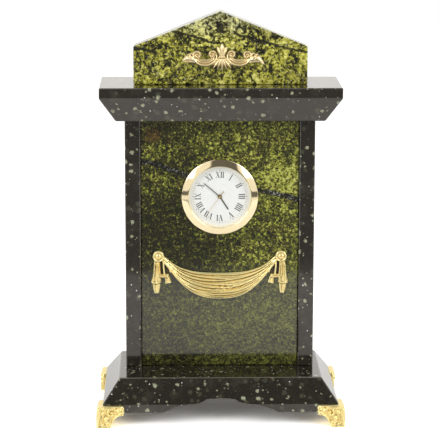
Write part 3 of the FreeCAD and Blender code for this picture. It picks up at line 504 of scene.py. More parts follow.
def mark_hollows(piece, rounds=10):
    """Stores in the attribute hollow how deep each point lies below its softened surroundings."""
    mesh = piece.data
    count = len(mesh.vertices)
    places = np.empty(count * 3)
    normals = np.empty(count * 3)
    edges = np.empty(len(mesh.edges) * 2, dtype=np.int32)
    mesh.vertices.foreach_get("co", places)
    mesh.vertices.foreach_get("normal", normals)
    mesh.edges.foreach_get("vertices", edges)
    places, normals, edges = places.reshape(-1, 3), normals.reshape(-1, 3), edges.reshape(-1, 2)
    ends = np.concatenate([edges[:, 0], edges[:, 1]])
    starts = np.concatenate([edges[:, 1], edges[:, 0]])
    near = np.bincount(ends, minlength=count) + 1
    soft = places.copy()
    for _ in range(rounds):
        total = [np.bincount(ends, soft[starts, axis], count) for axis in range(3)]
        soft = (soft + np.stack(total, axis=1)) / near[:, None]
    depth = ((soft - places) * normals).sum(axis=1) / MM
    mesh.attributes.new("hollow", "FLOAT", "POINT").data.foreach_set("value", depth)


def keep_inside(piece, low, high):
    """Draws in any point that stands outside the box of the node it replaces."""
    places = np.empty(len(piece.data.vertices) * 3)
    piece.data.vertices.foreach_get("co", places)
    places = np.clip(places.reshape(-1, 3), low, high)
    piece.data.vertices.foreach_set("co", places.ravel())
    piece.data.update()


def cast(name, pieces, node, voxel, keep_share, rounds=10):
    """Fuses closed forms into the casting that replaces a node, and marks its hollows."""
    piece = join(name, pieces)
    fuse_casting(piece, voxel, 1, keep_share)
    keep_inside(piece, *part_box(node))
    mark_hollows(piece, rounds)
    return piece


# How far the ground of a relief lies behind the face of the stone, in millimetres
MOUNT_SINK = 0.15


def on_front(front):
    """Maps a place on an upright front plane and a relief height, all in millimetres, to a point."""
    def place(x, z, height):
        depth = height if height > 0 else -MOUNT_SINK
        return Vector((x * MM, front - depth * MM, z * MM))
    return place


# Sizes of a fixing stud, in millimetres
STUD_RADIUS, STUD_LENGTH, STUD_CHAMFER, STUD_HEAD = 1.0, 4.0, 0.3, 0.5


def stud(centre, front):
    """A fixing stud on the back of a mount, its end chamfered and its head inside the casting."""
    end = front + STUD_LENGTH * MM
    profile = [(STUD_RADIUS * MM, front - STUD_HEAD * MM),
               (STUD_RADIUS * MM, front + (STUD_LENGTH - STUD_CHAMFER) * MM),
               ((STUD_RADIUS - STUD_CHAMFER) * MM, end), (0, end)]
    return turned("stud", profile, (centre[0] * MM, centre[1] * MM), 24)


# Materials

STONE_SHEEN = (1.0, 0.95, 0.88)
DARK_GRAIN = (0.045, 0.044, 0.034)
FAINT_SPECK = (0.085, 0.095, 0.058)
# Painted highlight for the chamfered edges of the dark stone
PAINTED_EDGE_HIGHLIGHT = (0.110, 0.105, 0.090)
MOSS_BROWN = (0.085, 0.060, 0.016)
MOSS_TIP = (0.560, 0.560, 0.180)
MOSS_FADED = (0.150, 0.155, 0.036)
MOSS_THREAD = (0.330, 0.320, 0.140)
VEIN_BLACK = (0.004, 0.004, 0.004)
VEIN_SLATE = (0.360, 0.370, 0.320)
RUST = (0.115, 0.055, 0.014)
GABLE_DARK = (0.010, 0.010, 0.004)
GABLE_OLIVE = (0.110, 0.105, 0.014)
GABLE_YELLOW = (0.860, 0.820, 0.260)
GABLE_SPOT = (0.800, 0.780, 0.480)
GABLE_BLOT = (0.012, 0.012, 0.009)
GABLE_VEIN = (0.010, 0.010, 0.008)
ROOT_SHADOW = (0.014, 0.009, 0.004)

# Courses of the veins over the front, in millimetres
PANEL_VEIN_LEFT = [(-56, 167.6), (-44.2, 166.5), (-35.8, 163.8), (-26, 159.8), (-20, 157)]
PANEL_VEIN_RIGHT = [(18, 150.5), (24.3, 148.4), (32.8, 146.4), (42.7, 144.3), (56, 140.8)]
GABLE_VEINS = [
    [(-56, 243.2), (-48, 241.7), (-41, 239.5)],
    [(-31, 253.8), (-22.7, 251.9), (-13.2, 249.3), (-6.8, 246.8), (0.9, 245.5)],
    [(9.2, 251.9), (26.4, 248), (41.2, 242.9), (56, 240)],
]


def specks(paint, size, share, low, high, shift, ragged=0.35):
    """1 on scattered rounded specks: cell size, share of cells with one, and radius range in cell sizes."""
    start = paint.mapped(shift=shift)
    place = paint.warped(size * 0.35, size * ragged, start)
    distance, chance = paint.cells(size, paint.warped(size * 0.12, size * 0.12, place))
    held = paint.step(chance, 1 - share, 1 - share + 0.02)
    radius = paint.step(chance, 1 - share, 1.0) * (high - low) + low
    return paint.step(distance / radius, 1.15, 0.62) * held


def edge_line(paint, edges):
    """1 on narrow chamfered edges, each given by two (axis, place in mm, width in mm); there the stone is
    made matt, and paler with a painted highlight.
    """
    total = None
    for pair in edges:
        line = None
        for axis, value, width in pair:
            gap = paint.math("ABSOLUTE", paint.axis(axis) - value * MM)
            near = paint.step(gap, width * MM, width * 0.5 * MM)
            line = near if line is None else line * near
        total = line if total is None else paint.most(total, line)
    return total


def polished_stone(paint, colour, roughness, coat, place=None, matt=None, coat_tint=(1.0, 1.0, 1.0)):
    """Finishes a polished stone: slightly wavy, with a warm sheen under a thin clear coat."""
    rough = paint.noise(2.5 * MM, 3, 0.5, 0, place) * 0.06 + roughness
    if matt is not None:
        rough = rough + matt * 0.25
    paint.bump(paint.noise(14 * MM, 2, 0.4, 0, place), 0.10, 0.25 * MM)
    return paint.finish(Base_Color=colour, Roughness=rough, Specular_IOR_Level=0.5,
                        Specular_Tint=STONE_SHEEN, Coat_Weight=coat, Coat_Roughness=0.04, Coat_Tint=coat_tint)


def speckled_stone(name, stone, shift, speck_share=1.0, edges=()):
    """Near-black serpentine with pale specks of several sizes, polished, its edges matt and paler with a
    painted highlight.
    """
    paint = Paint(name)
    start = paint.mapped(shift=shift)
    place = paint.warped(5 * MM, 4 * MM, start)
    cloud = paint.noise(9 * MM, 4, 0.55, 0, place)
    ground = paint.mix(paint.step(cloud, 0.46, 0.70), stone.dark, stone.cloud)
    fine = paint.noise(1.1 * MM, 3, 0.6, 0, start)
    ground = paint.mix(paint.step(fine, 0.53, 0.70) * 0.5, ground, DARK_GRAIN)
    faint = specks(paint, 6.0 * MM, 0.60, 0.20, 0.36, (shift[1] + 0.4, shift[0], shift[2]))
    ground = paint.mix(faint * 0.5, ground, FAINT_SPECK)
    mottle = paint.step(paint.noise(0.9 * MM, 3, 0.6, 0, start), 0.34, 0.62)
    gather = paint.step(paint.noise(22 * MM, 2, 0.5, 0, start), 0.38, 0.54)
    large = specks(paint, 4.8 * MM, 0.62 * speck_share, 0.12, 0.33, shift, 0.55)
    small = specks(paint, 2.5 * MM, 0.30 * speck_share, 0.14, 0.30, (shift[2], shift[0] + 0.2, shift[1]))
    pale = paint.most(large * (mottle * 0.45 + 0.50), small * gather * (mottle * 0.6 + 0.25))
    ground = paint.mix(pale, ground, stone.speck)
    fleck = specks(paint, 3.5 * MM, 0.30 * speck_share, 0.07, 0.16, (shift[1], shift[2] + 0.3, shift[0]), 0.2)
    ground = paint.mix(fleck * 0.95, ground, stone.fleck)
    line = None
    if edges:
        line = edge_line(paint, edges)
        # Painted highlight: the chamfered edges are made paler, as if they mirrored the white floor
        ground = paint.mix(line * 0.8, ground, PAINTED_EDGE_HIGHLIGHT)
    return polished_stone(paint, ground, stone.polish - 0.02, 0.6, start, line, (1.0, 0.98, 0.94))


def band_along(paint, points, half_width, place=None):
    """1 on a vein that passes through points given in millimetres, falling to 0 at its ragged edges."""
    x = paint.axis("X", place)
    z = paint.axis("Z", place)
    total = None
    for (x0, z0), (x1, z1) in zip(points, points[1:]):
        length = math.hypot(x1 - x0, z1 - z0) * MM
        ux = (x1 - x0) * MM / length
        uz = (z1 - z0) * MM / length
        along = (x - x0 * MM) * ux + (z - z0 * MM) * uz
        nearest = paint.math("MINIMUM", paint.most(along, 0), length)
        dx = (x - x0 * MM) - nearest * ux
        dz = (z - z0 * MM) - nearest * uz
        gap = paint.math("SQRT", dx * dx + dz * dz)
        total = gap if total is None else paint.math("MINIMUM", total, gap)
    return paint.step(total, half_width * MM, half_width * 0.6 * MM)


def zone(paint, centre, radius, place=None):
    """1 in the middle of a soft round zone on the front, given in millimetres."""
    x = (paint.axis("X", place) - centre[0] * MM) / (radius[0] * MM)
    z = (paint.axis("Z", place) - centre[1] * MM) / (radius[1] * MM)
    return paint.step(x * x + z * z, 1.0, 0.15)


def matted(paint, place, grain, fibre, patch, broad_share):
    """Level of matted serpentine, about -1 to 1: grains, torn fibres and broad patches of those sizes."""
    _, chance = paint.cells(grain, place)
    torn = paint.noise(fibre, 6, 0.72, 0.7, place)
    broad = paint.noise(patch, 3, 0.55, 0.4)
    return (chance - 0.5) * 0.65 + (torn - 0.5) * 4.2 + (broad - 0.5) * broad_share


def moss_stone(name, stone):
    """Moss-green serpentine: matted fibres, a dark vein across and a rust spot."""
    paint = Paint(name)
    place = paint.warped(2.4 * MM, 2.4 * MM)
    ragged = paint.warped(4 * MM, 3.4 * MM)
    level = matted(paint, place, 1.2 * MM, 1.6 * MM, 10 * MM, 0.9)
    shade = zone(paint, (-30, 112), (52, 40)) * 0.24 + paint.step(paint.axis("X"), 0.010, -0.030) * 0.20
    yellow = paint.most(zone(paint, (-46, 174), (13, 7)) * 0.5, zone(paint, (40, 155), (20, 15)))
    level = level - shade + yellow * 0.30 + paint.step(paint.axis("Z"), 0.060, 0.036) * -0.14
    brown = paint.step(paint.noise(6 * MM, 3, 0.6, 0.5, paint.mapped(shift=(0.5, 0.2, 0.8))), 0.50, 0.62)
    middle = paint.mix(brown * 0.6, stone.moss, MOSS_BROWN)
    low = paint.step(paint.axis("Z"), 0.104, 0.088)
    green = paint.mix(paint.step(level, -0.40, 0.12), stone.moss_dark, middle)
    green = paint.mix(paint.step(level, 0.10, 0.68) * (1 - low * 0.45), green, stone.moss_bright)
    green = paint.mix(paint.step(level, 0.55, 0.95) * (1 - low), green, MOSS_TIP)
    faded = paint.mix(paint.step(level, -0.7, 0.8), stone.moss_dark, MOSS_FADED)
    green = paint.mix(low * 0.65, green, faded)
    threads = paint.noise(0.9 * MM, 4, 0.65, 1.5, paint.mapped(place, (0.2, 0.5, 0.1)))
    green = paint.mix(paint.step(threads - shade * 0.12, 0.57, 0.68) * 0.6, green, MOSS_THREAD)
    vein = paint.most(band_along(paint, PANEL_VEIN_LEFT, 1.9, ragged),
                      band_along(paint, PANEL_VEIN_RIGHT, 2.1, ragged))
    flecks = paint.step(paint.noise(1.2 * MM, 3, 0.7, 0.6), 0.57, 0.63)
    slate = paint.mix(flecks * 0.8, VEIN_BLACK, VEIN_SLATE)
    green = paint.mix(vein * 0.95, green, slate)
    rust = zone(paint, (-43.8, 185), (6.6, 6.0), ragged) * paint.step(level, -0.9, 0.1)
    green = paint.mix(rust * 0.75, green, RUST)
    return polished_stone(paint, green, stone.polish - 0.01, 0.62)


def gable_stone(name, stone):
    """Brighter yellow-green serpentine with black blotches and thin veins, paler towards the point."""
    paint = Paint(name)
    place = paint.warped(3.0 * MM, 3.0 * MM)
    level = matted(paint, place, 1.5 * MM, 2.2 * MM, 9 * MM, 1.7)
    pale = paint.step(paint.axis("Z") + (paint.noise(9 * MM, 3) - 0.5) * (16 * MM), 0.246, 0.262)
    ground = paint.mix(pale * 0.75, stone.gable, stone.gable_pale)
    level = level + pale * 0.12
    green = paint.mix(paint.step(level, -0.52, -0.14), GABLE_DARK, GABLE_OLIVE)
    green = paint.mix(paint.step(level, -0.18, 0.22), green, ground)
    green = paint.mix(paint.step(level, 0.28, 0.75), green, GABLE_YELLOW)
    spots = paint.step(paint.noise(1.3 * MM, 4, 0.66, 1.0, place), 0.58, 0.68)
    green = paint.mix(spots * 0.7, green, GABLE_SPOT)
    blotches = paint.noise(6.0 * MM, 4, 0.62, 0.8, paint.mapped(place, shift=(0.1, 0.3, 0.6)))
    green = paint.mix(paint.step(blotches, 0.56, 0.61) * 0.92, green, GABLE_BLOT)
    ragged = paint.warped(3.2 * MM, 2.6 * MM)
    web, _ = paint.cells(12 * MM, paint.warped(6 * MM, 9 * MM), "DISTANCE_TO_EDGE")
    broken = paint.step(paint.noise(7 * MM, 2, 0.5, 0), 0.44, 0.54)
    veins = paint.step(web, 0.060, 0.020) * broken * 0.8
    for course in GABLE_VEINS:
        veins = paint.most(veins, band_along(paint, course, 1.0, ragged))
    green = paint.mix(veins * 0.9, green, GABLE_VEIN)
    return polished_stone(paint, green, stone.polish, 0.5)


def cast_gilt(name, colour, patina, roughness, start, end, metallic=0.88, root=None):
    """Gilt on a casting: bright on the ridges with a painted highlight, brown in the hollows, with a fine
    cast grain.

    start and end are the depths in millimetres between which a hollow turns brown. root is the plane of the
    stone that the casting lies on, next to which it is darker.
    """
    paint = Paint(name)
    depth = Term(paint, paint.node("ShaderNodeAttribute", {"attribute_name": "hollow"}).outputs["Fac"])
    worn = paint.noise(2.2 * MM, 4, 0.6)
    hollow = paint.step(depth + (worn - 0.5) * 0.05, start, end)
    shade = tuple(c * 0.93 for c in colour)
    ground = paint.mix(paint.step(worn, 0.40, 0.65), shade, colour)
    # Painted highlight: the raised ridges are lightened, as if they caught the light
    ridge_highlight = paint.step(depth, -0.04, -0.15)
    ground = paint.mix(ridge_highlight * 0.8, ground, tuple(min(1.0, c * 1.15 + 0.15) for c in colour))
    ground = paint.mix(hollow * 0.92, ground, patina)
    shine = metallic - hollow * 0.4
    if root is not None:
        shadow = paint.step(paint.axis("Y"), root - 1.2 * MM, root - 0.6 * MM)
        ground = paint.mix(shadow * 0.92, ground, ROOT_SHADOW)
        shine = shine * (1 - shadow * 0.7)
    grain = paint.noise(0.35 * MM, 3, 0.6)
    paint.bump(grain * 0.6 + paint.noise(1.6 * MM, 2) * 0.4, 0.30, 0.08 * MM)
    rough = hollow * 0.25 + worn * 0.12 + (roughness - 0.06)
    return paint.finish(Base_Color=ground, Roughness=rough, Metallic=shine)


def fine_paint(name, colour, metallic, roughness, grain, spread, depth, stretch=(1, 1, 1)):
    """A made surface with faint variation: brushed or turned metal, moulded plastic, lacquer.

    grain and depth are the size and the height of its unevenness in millimetres.
    """
    paint = Paint(name)
    place = paint.mapped(scale=stretch)
    mottle = paint.noise(grain * MM, 4, 0.6, 0, place)
    low = tuple(c * (1 - spread) for c in colour)
    high = tuple(min(1.0, c * (1 + spread)) for c in colour)
    ground = paint.mix(paint.step(mottle, 0.35, 0.65), low, high)
    paint.bump(mottle, 0.25, depth * MM)
    rough = mottle * (roughness * 0.35) + roughness * 0.82
    return paint.finish(Base_Color=ground, Roughness=rough, Metallic=metallic)


def clear_crystal(name):
    """Mineral glass: clear, with a reflection that grows towards the rim."""
    paint = Paint(name)
    dust = paint.noise(6 * MM, 3)
    facing = Term(paint, paint.node("ShaderNodeLayerWeight", None, {"Blend": 0.5}).outputs["Facing"])
    edge = paint.math("POWER", facing, 5) * 0.9 + 0.03
    clear = paint.node("ShaderNodeBsdfTransparent", None, {"Color": (0.99, 0.995, 0.99)})
    gloss = paint.node("ShaderNodeBsdfGlossy", None, {"Color": (1, 1, 1), "Roughness": 0.03})
    paint.show(paint.mix_shaders(edge * (dust * 0.1 + 0.9), clear, gloss))
    paint.tree.nodes.remove(paint.shader)
    return paint.material


# Feet

# Thickness of the plate, spread of the leg and how deep the relief is sunk into them, in millimetres
FOOT_PLATE, FOOT_SPREAD, FOOT_SINK = 2.4, 1.9, 0.8


def foot_out(u, z, height):
    """How far a place on the foot stands out from the base, in from the corner by u and at the height z."""
    flare = min(max((6 - u) / 2, 0), 1) * max(0, BASE_FOOT - z) / BASE_FOOT
    return FOOT_PLATE + FOOT_SPREAD * flare + (height if height > 0 else -FOOT_SINK)


def foot_front(u, z, height):
    return Vector(((BASE_HALF_X - u) * MM, -(BASE_HALF_Y + foot_out(u, z, height)) * MM, z * MM))


def foot_side(u, z, height):
    return Vector(((BASE_HALF_X + foot_out(u, z, height)) * MM, -(BASE_HALF_Y - u) * MM, z * MM))


def foot_relief(place):
    """The scrollwork of one arm and the leaf on its half of the leg."""
    return strips("relief", [
        # Moulding under the flat top, and the long scroll that rolls into the middle of the arm
        ([(-3.4, 13.65), (3, 13.75), (8, 13.75), (12.4, 13.5)], [0.55, 0.55, 0.55, 0.4], rounded(0.9), 24, 6),
        ([(-3.0, 10.6), (-1.2, 12.2), (1.6, 12.7), (4.6, 12.6), (7.4, 12.3), (9.4, 11.0), (9.9, 9.3)],
         [0.5, 0.75, 0.85, 0.85, 0.8, 0.7, 0.35], rounded(1.5, 0.2), 44, 10),
        (curl((5.3, 9.7), 2.6, 0.20, 1.30, 0.12, 18),
         [0.85, 0.85, 0.75, 0.62, 0.5, 0.45], rounded(1.8), 50, 10),
        ([(4.9, 9.6), (5.3, 9.8), (5.7, 9.7)], [0.6, 0.8, 0.6], rounded(1.9), 12, 8),
        (curl((12.0, 11.3), 1.75, 0.55, 1.15, 0.14, 14), [0.62, 0.62, 0.52, 0.42], rounded(1.6), 36, 10),
        ([(9.7, 8.6), (11.0, 8.9), (12.4, 8.8), (13.6, 8.4)], [0.45, 0.6, 0.6, 0.35], rounded(1.3), 24, 8),
        # Rolled lower edge
        ([(12.4, 8.2), (10.4, 8.0), (8.8, 7.3), (7.3, 5.9), (6.2, 4.1), (5.5, 2.0)],
         [0.4, 0.5, 0.55, 0.55, 0.5, 0.35], rounded(0.9), 34, 8),
        # Leaf that clasps the leg: corner rib and two broad lobes
        ([(-3.2, 12.6), (-3.3, 8.4), (-3.4, 4.8), (-3.5, 1.4)], [0.6, 0.9, 0.9, 0.6], rounded(0.7), 30, 10),
        ([(0.6, 10.6), (-0.6, 8.2), (-1.1, 5.4), (-1.2, 2.9)],
         [0.5, 1.15, 1.15, 0.6], rounded(1.0, 0.25), 30, 12),
        ([(3.2, 6.9), (2.2, 5.9), (1.9, 4.4), (2.2, 2.9)], [0.5, 1.0, 1.1, 0.55], rounded(0.9, 0.25), 28, 12),
        (curl((3.4, 2.1), 1.15, 0.2, 1.0, 0.2, 10), [0.5, 0.5, 0.4], rounded(0.8), 24, 8),
    ], place)


def leg_cut(u, z):
    """Depth of the veins and of the line above the toe, in millimetres."""
    fade = min(max((7.0 - z) / 2, 0), 1) * min(max((5.2 - u) / 0.6, 0), 1)
    fan = (u + 4.3) / (9.6 - 0.2 * z)
    vein = (0.5 + 0.5 * math.cos(FULL_TURN * 4 * fan)) ** 4
    line = math.exp(-((z - 2.6 - 0.25 * math.cos(u * 1.3)) / 0.35) ** 2)
    return fade * max(0.22 * vein * min(1, z / 1.5), 0.40 * line)


def corner_foot(voxel):
    """The front right foot: the frame's bracket with its scrollwork fused on."""
    core = bpy.data.objects.new("foot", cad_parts["foot_front_right"].data.copy())
    bpy.context.scene.collection.objects.link(core)
    recalculate(core)
    foot = join("foot", [core] + foot_relief(foot_front) + foot_relief(foot_side))
    fuse_casting(foot, voxel)
    for vertex in foot.data.vertices:
        x, y, z = (c / MM for c in vertex.co)
        if vertex.normal.y < -0.6:
            vertex.co.y += leg_cut(BASE_HALF_X - x, z) * MM
        elif vertex.normal.x > 0.6:
            vertex.co.x -= leg_cut(BASE_HALF_Y + y, z) * MM
    keep_inside(foot, *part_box("foot_front_right"))
    mark_hollows(foot)
    return foot


class CLOCK_OT_feet(bpy.types.Operator):
    """Cast the corner foot once and set it under all four corners"""
    bl_idname = "clock.feet"
    bl_label = "Corner Feet"

    def execute(self, context):
        gilt = context.scene.clock_gilt
        brown = tuple(0.5 * p + 0.5 * c * 0.45 for p, c in zip(gilt.patina, gilt.swag))
        material = cast_gilt("Foot Gilt", gilt.swag, brown, 0.28, 0.05, 0.24)
        first = corner_foot(gilt.voxel)
        places = [("foot_back_right", (1, -1)), ("foot_front_left", (-1, 1)), ("foot_back_left", (-1, -1))]
        for node, (turn_x, turn_y) in places:
            foot = bpy.data.objects.new(node + "_casting", first.data.copy())
            context.scene.collection.objects.link(foot)
            select_only([foot])
            foot.scale = (turn_x, turn_y, 1)
            bpy.ops.object.transform_apply(location=True, rotation=True, scale=True)
            recalculate(foot)
            bpy.ops.object.shade_smooth()
            place_piece(foot, "stone_case", material, [node])
        first.name = "foot_front_right_casting"
        place_piece(first, "stone_case", material, ["foot_front_right"])
        return {"FINISHED"}


# Swag

SWAG_TOP = [(-39.8, 105.6), (-35, 102.9), (-28, 98.0), (-18.5, 94.6), (-8.5, 93.4), (0, 93.2)]
SWAG_BOTTOM = [(-36.9, 100.2), (-32, 93.9), (-27.8, 88.6), (-21.5, 82.5), (-14.5, 78.2), (-7, 76.1),
               (0, 75.75)]
# Each groove: share down the cloth, slope, sway, depth, width, and its start and end along the cloth
SWAG_GROOVES = [
    (0.10, 0.00, 0.010, 1.20, 0.020, -0.1, 1.1),
    (0.20, 0.04, 0.016, 0.90, 0.018, 0.06, 0.62),
    (0.29, -0.06, 0.026, 1.50, 0.022, -0.1, 1.1),
    (0.37, 0.05, 0.014, 1.00, 0.016, 0.42, 1.02),
    (0.45, 0.10, 0.024, 1.30, 0.020, 0.0, 0.66),
    (0.53, -0.08, 0.030, 1.60, 0.022, 0.10, 1.1),
    (0.60, -0.10, 0.016, 1.00, 0.016, 0.40, 0.98),
    (0.66, -0.14, 0.022, 1.40, 0.022, 0.22, 1.04),
    (0.76, -0.10, 0.020, 1.20, 0.018, 0.34, 1.02),
    (0.86, -0.03, 0.010, 0.90, 0.016, 0.40, 0.92),
    (0.935, 0.00, 0.006, 1.20, 0.016, -0.1, 1.1),
]


def cloth_height(t, s):
    """Height of the drapery over the panel: broad rolls parted by narrow folds, hems rolled at both edges."""
    v = (s + 1) / 2
    belly = math.sin(math.pi * min(max(t, 0.0), 1.0))
    height = 1.75 + (0.9 + 0.6 * belly) * math.sin(math.pi * v) ** 0.5
    height += 0.22 * math.sin(47 * v + 5 * t) * belly + 0.12 * math.sin(71 * v - 9 * t) * belly
    for share, slope, sway, depth, width, start, end in SWAG_GROOVES:
        line = share + slope * (t - 0.5) + sway * math.sin(FULL_TURN * (1.2 * t + 3 * share))
        window = min(max((t - start) / 0.12, 0), 1) * min(max((end - t) / 0.12, 0), 1)
        height -= depth * window * math.exp(-((v - line) / (width * (1.7 - 0.5 * belly))) ** 2)
    height += 0.45 * math.exp(-((v - 0.05) / 0.035) ** 2) + 0.40 * math.exp(-((v - 0.962) / 0.028) ** 2)
    crease = math.exp(-((t - 0.55) / 0.10) ** 2) * math.exp(-((v - 0.50) / 0.16) ** 2)
    height += 0.26 * crease * math.sin(120 * t + 46 * v)
    return height


def swag_cloth(place):
    top = spline(SWAG_TOP + mirrored(SWAG_TOP[-2::-1]))
    bottom = spline(SWAG_BOTTOM + mirrored(SWAG_BOTTOM[-2::-1]))

    def surface(t, s):
        v = (s + 1) / 2
        (x0, z0), (x1, z1) = top(t), bottom(t)
        sag = 0.9 * math.sin(math.pi * v) * math.sin(math.pi * t)
        x, z = x0 + (x1 - x0) * v, z0 + (z1 - z0) * v - sag
        return place(x, z, 0), place(x, z, cloth_height(t, s))

    return relief_block("cloth", 260, 90, surface)


def pleated(height, pleats, lift=0.3):
    """Pleats that run down a hanging end, rising towards its hem."""
    def at(t, s):
        wave = 0.5 + 0.5 * math.cos(FULL_TURN * pleats * (s + 1) / 2)
        crown = math.sqrt(max(1 - s * s, 0.0)) * 0.35 + 0.65
        return height * crown * (0.72 + 0.28 * wave) * (1 - lift + lift * t)
    return at


def web_height(t, s):
    """The low ground behind the open end, which closes its openings; the brown it takes as a hollow is
    painted shade in them.
    """
    return 0.45


def swag_end(place, side):
    """The hanging end of the cloth under one rosette, with its strand, bridge and short tail."""
    return strips("end", [
        ([(41.2, 102.6), (41.3, 97), (41.5, 91.5), (41.9, 86.6)],
         [1.9, 2.2, 2.7, 3.3], pleated(3.1, 1.5), 46, 20),
        ([(40.4, 100.4), (40.5, 95), (40.3, 90)], [0.5, 0.55, 0.5], rounded(3.3), 30, 8),
        ([(42.9, 100.0), (43.2, 94), (43.9, 88)], [0.4, 0.5, 0.5], rounded(3.0), 30, 8),
        ([(38.6, 87.4), (41.8, 86.5), (45.0, 87.0)], [0.75, 1.0, 0.75], rounded(3.0), 26, 10),
        ([(41.6, 86.6), (41.6, 83.4), (41.3, 79.6)], [2.5, 2.3, 1.5], pleated(2.6, 1.5, 0.1), 30, 16),
        ([(37.0, 102.4), (36.9, 97.4), (36.3, 91.8)], [0.85, 0.72, 0.80], rounded(2.6), 30, 8),
        ([(40.6, 91.3), (37.2, 91.0), (33.4, 91.2)], [1.5, 1.45, 1.5], rounded(2.4), 26, 12),
        ([(34.9, 91.6), (34.2, 89.0), (33.7, 86.3)], [1.5, 1.75, 2.15], pleated(2.6, 1.5), 26, 16),
        # A low sheet closes the openings, so that the hollows' brown paints the shade in them
        ([(36.6, 101.5), (36.6, 92.5)], [2.9, 2.9], web_height, 24, 16),
        ([(39.6, 104.4), (37.2, 102.8), (34.6, 100.6)], [1.5, 1.8, 1.8], pleated(3.1, 1.5, 0.0), 26, 16),
        ([(35.7, 100.4), (33.5, 97.0), (32.0, 93.2)], [0.9, 0.8, 0.9], rounded(2.5), 26, 10),
    ], place, lambda x, z: (side * x, z))


ROSETTE_X, ROSETTE_Z = 40.3, 104.5


def rosette(centre, front):
    profile = [(3.6, 0.15), (3.75, -0.5), (3.75, -2.4), (3.62, -2.9), (3.3, -3.2), (2.95, -3.15), (2.6, -2.9),
               (2.3, -2.8), (2.05, -2.9), (1.8, -3.25), (1.4, -3.6), (0.9, -3.8), (0, -3.9)]
    points = [(r * MM, front + y * MM) for r, y in profile]
    return turned("rosette", points, (centre[0] * MM, centre[1] * MM), 64)


class CLOCK_OT_swag(bpy.types.Operator):
    """Cast the drapery swag with its rosettes and hanging ends"""
    bl_idname = "clock.swag"
    bl_label = "Drapery Swag"

    def execute(self, context):
        gilt = context.scene.clock_gilt
        place = on_front(PANEL_FRONT)
        pieces = [swag_cloth(place)]
        for side in (-1, 1):
            pieces += swag_end(place, side)
            centre = (side * ROSETTE_X, ROSETTE_Z)
            pieces += [rosette(centre, PANEL_FRONT), stud(centre, PANEL_FRONT)]
        swag = cast("swag_casting", pieces, "swag_ornament", gilt.voxel, 0.55)
        material = cast_gilt("Swag Gilt", gilt.swag, gilt.patina, 0.25, 0.045, 0.115, 0.66, PANEL_FRONT)
        place_piece(swag, "stone_case", material, ["swag_ornament"])
        return {"FINISHED"}


# Gable mount

# Middle line of the mount, where its wings start, and its studs, in millimetres
MOUNT_X = 0.9
WING_ROOT = 16.0
MOUNT_STUD_X, MOUNT_STUD_Z = 11.0, 234.0


def leaf(height, veins=0.0):
    """A leaf that is raised along its middle rib and sinks to its edges and tip."""
    def at(t, s):
        body = math.sqrt(max(1 - s * s, 0.0)) * 0.8 + 0.2 * (1 - abs(s))
        fall = 0.5 + 0.5 * math.sin(math.pi * min(0.15 + 0.8 * t, 1.0)) ** 0.6
        return height * (0.15 + 0.85 * body) * fall + veins * math.sin(FULL_TURN * (5 * t - 0.6 * abs(s)))
    return at


def volute(centre, side, start, turns, radius, place):
    """A rolled end: a spiral band over a low dome."""
    x = MOUNT_X + side * centre[0]
    path = [(x + side * dx, centre[1] + dz) for dx, dz in curl((0, 0), radius - 0.50, start, turns, 0.16, 20)]
    profile = [(r * MM, GABLE_FRONT + y * MM) for r, y in
               [(radius - 0.5, 0.15), (radius - 0.5, -0.7), (radius - 0.9, -1.0), (radius - 1.5, -1.2),
                (radius - 2.1, -1.3), (0, -1.4)]]
    dome = turned("mount", profile, (x * MM, centre[1] * MM), 32)
    return [strip("mount", path, [0.72, 0.70, 0.62, 0.52, 0.42], rounded(2.7), place, 64, 10), dome]


def mount_half(place, side):
    """One half of the gable mount: two volutes joined by three rounded bands, and hanging leaves."""
    bands = [
        # Ground of the bands, then the outer, middle and inner band
        ([(18.0, 237.0), (15.8, 234.6), (12.8, 233.6), (9.2, 233.6), (6.2, 234.8), (4.2, 237.0)],
         [1.4, 2.2, 2.4, 2.4, 2.2, 1.4], rounded(1.3), 50, 16),
        ([(18.3, 239.2), (18.0, 236.4), (16.1, 233.7), (12.9, 232.1), (9.2, 232.1), (6.0, 233.5),
          (3.9, 235.9), (3.3, 238.8)],
         [0.6, 0.75, 0.85, 0.85, 0.85, 0.85, 0.75, 0.6], rounded(2.4), 70, 12),
        ([(16.9, 236.6), (15.2, 234.9), (12.7, 233.8), (9.4, 233.8), (6.9, 234.9), (5.1, 236.8)],
         [0.5, 0.62, 0.68, 0.68, 0.62, 0.5], rounded(2.1), 60, 10),
        ([(15.2, 236.0), (12.9, 235.4), (9.4, 235.4), (6.9, 236.2)],
         [0.45, 0.68, 0.68, 0.45], rounded(2.3), 50, 10),
        # Leaves that fan out under the collar
        ([(0.7, 236.0), (1.7, 233.0), (3.0, 229.4)], [0.6, 1.05, 0.45], leaf(2.3), 40, 14),
        ([(1.3, 236.2), (3.6, 232.9), (5.8, 230.0)], [0.6, 1.15, 0.45], leaf(2.7), 40, 14),
        ([(2.4, 236.3), (5.4, 233.3), (8.4, 231.4)], [0.6, 0.95, 0.40], leaf(2.2), 40, 14),
        # Side lobe of the crest
        ([(0.9, 237.6), (1.5, 239.8), (2.3, 241.9), (2.9, 243.7)],
         [0.9, 1.05, 1.30, 0.80], leaf(2.5), 40, 14),
    ]
    return (volute((15.8, 238.6), side, -0.04, 1.50, 3.1, place)
            + volute((6.3, 239.0), side, 0.54, -1.45, 3.0, place)
            + strips("mount", bands, place, lambda x, z: (MOUNT_X + side * x, z)))


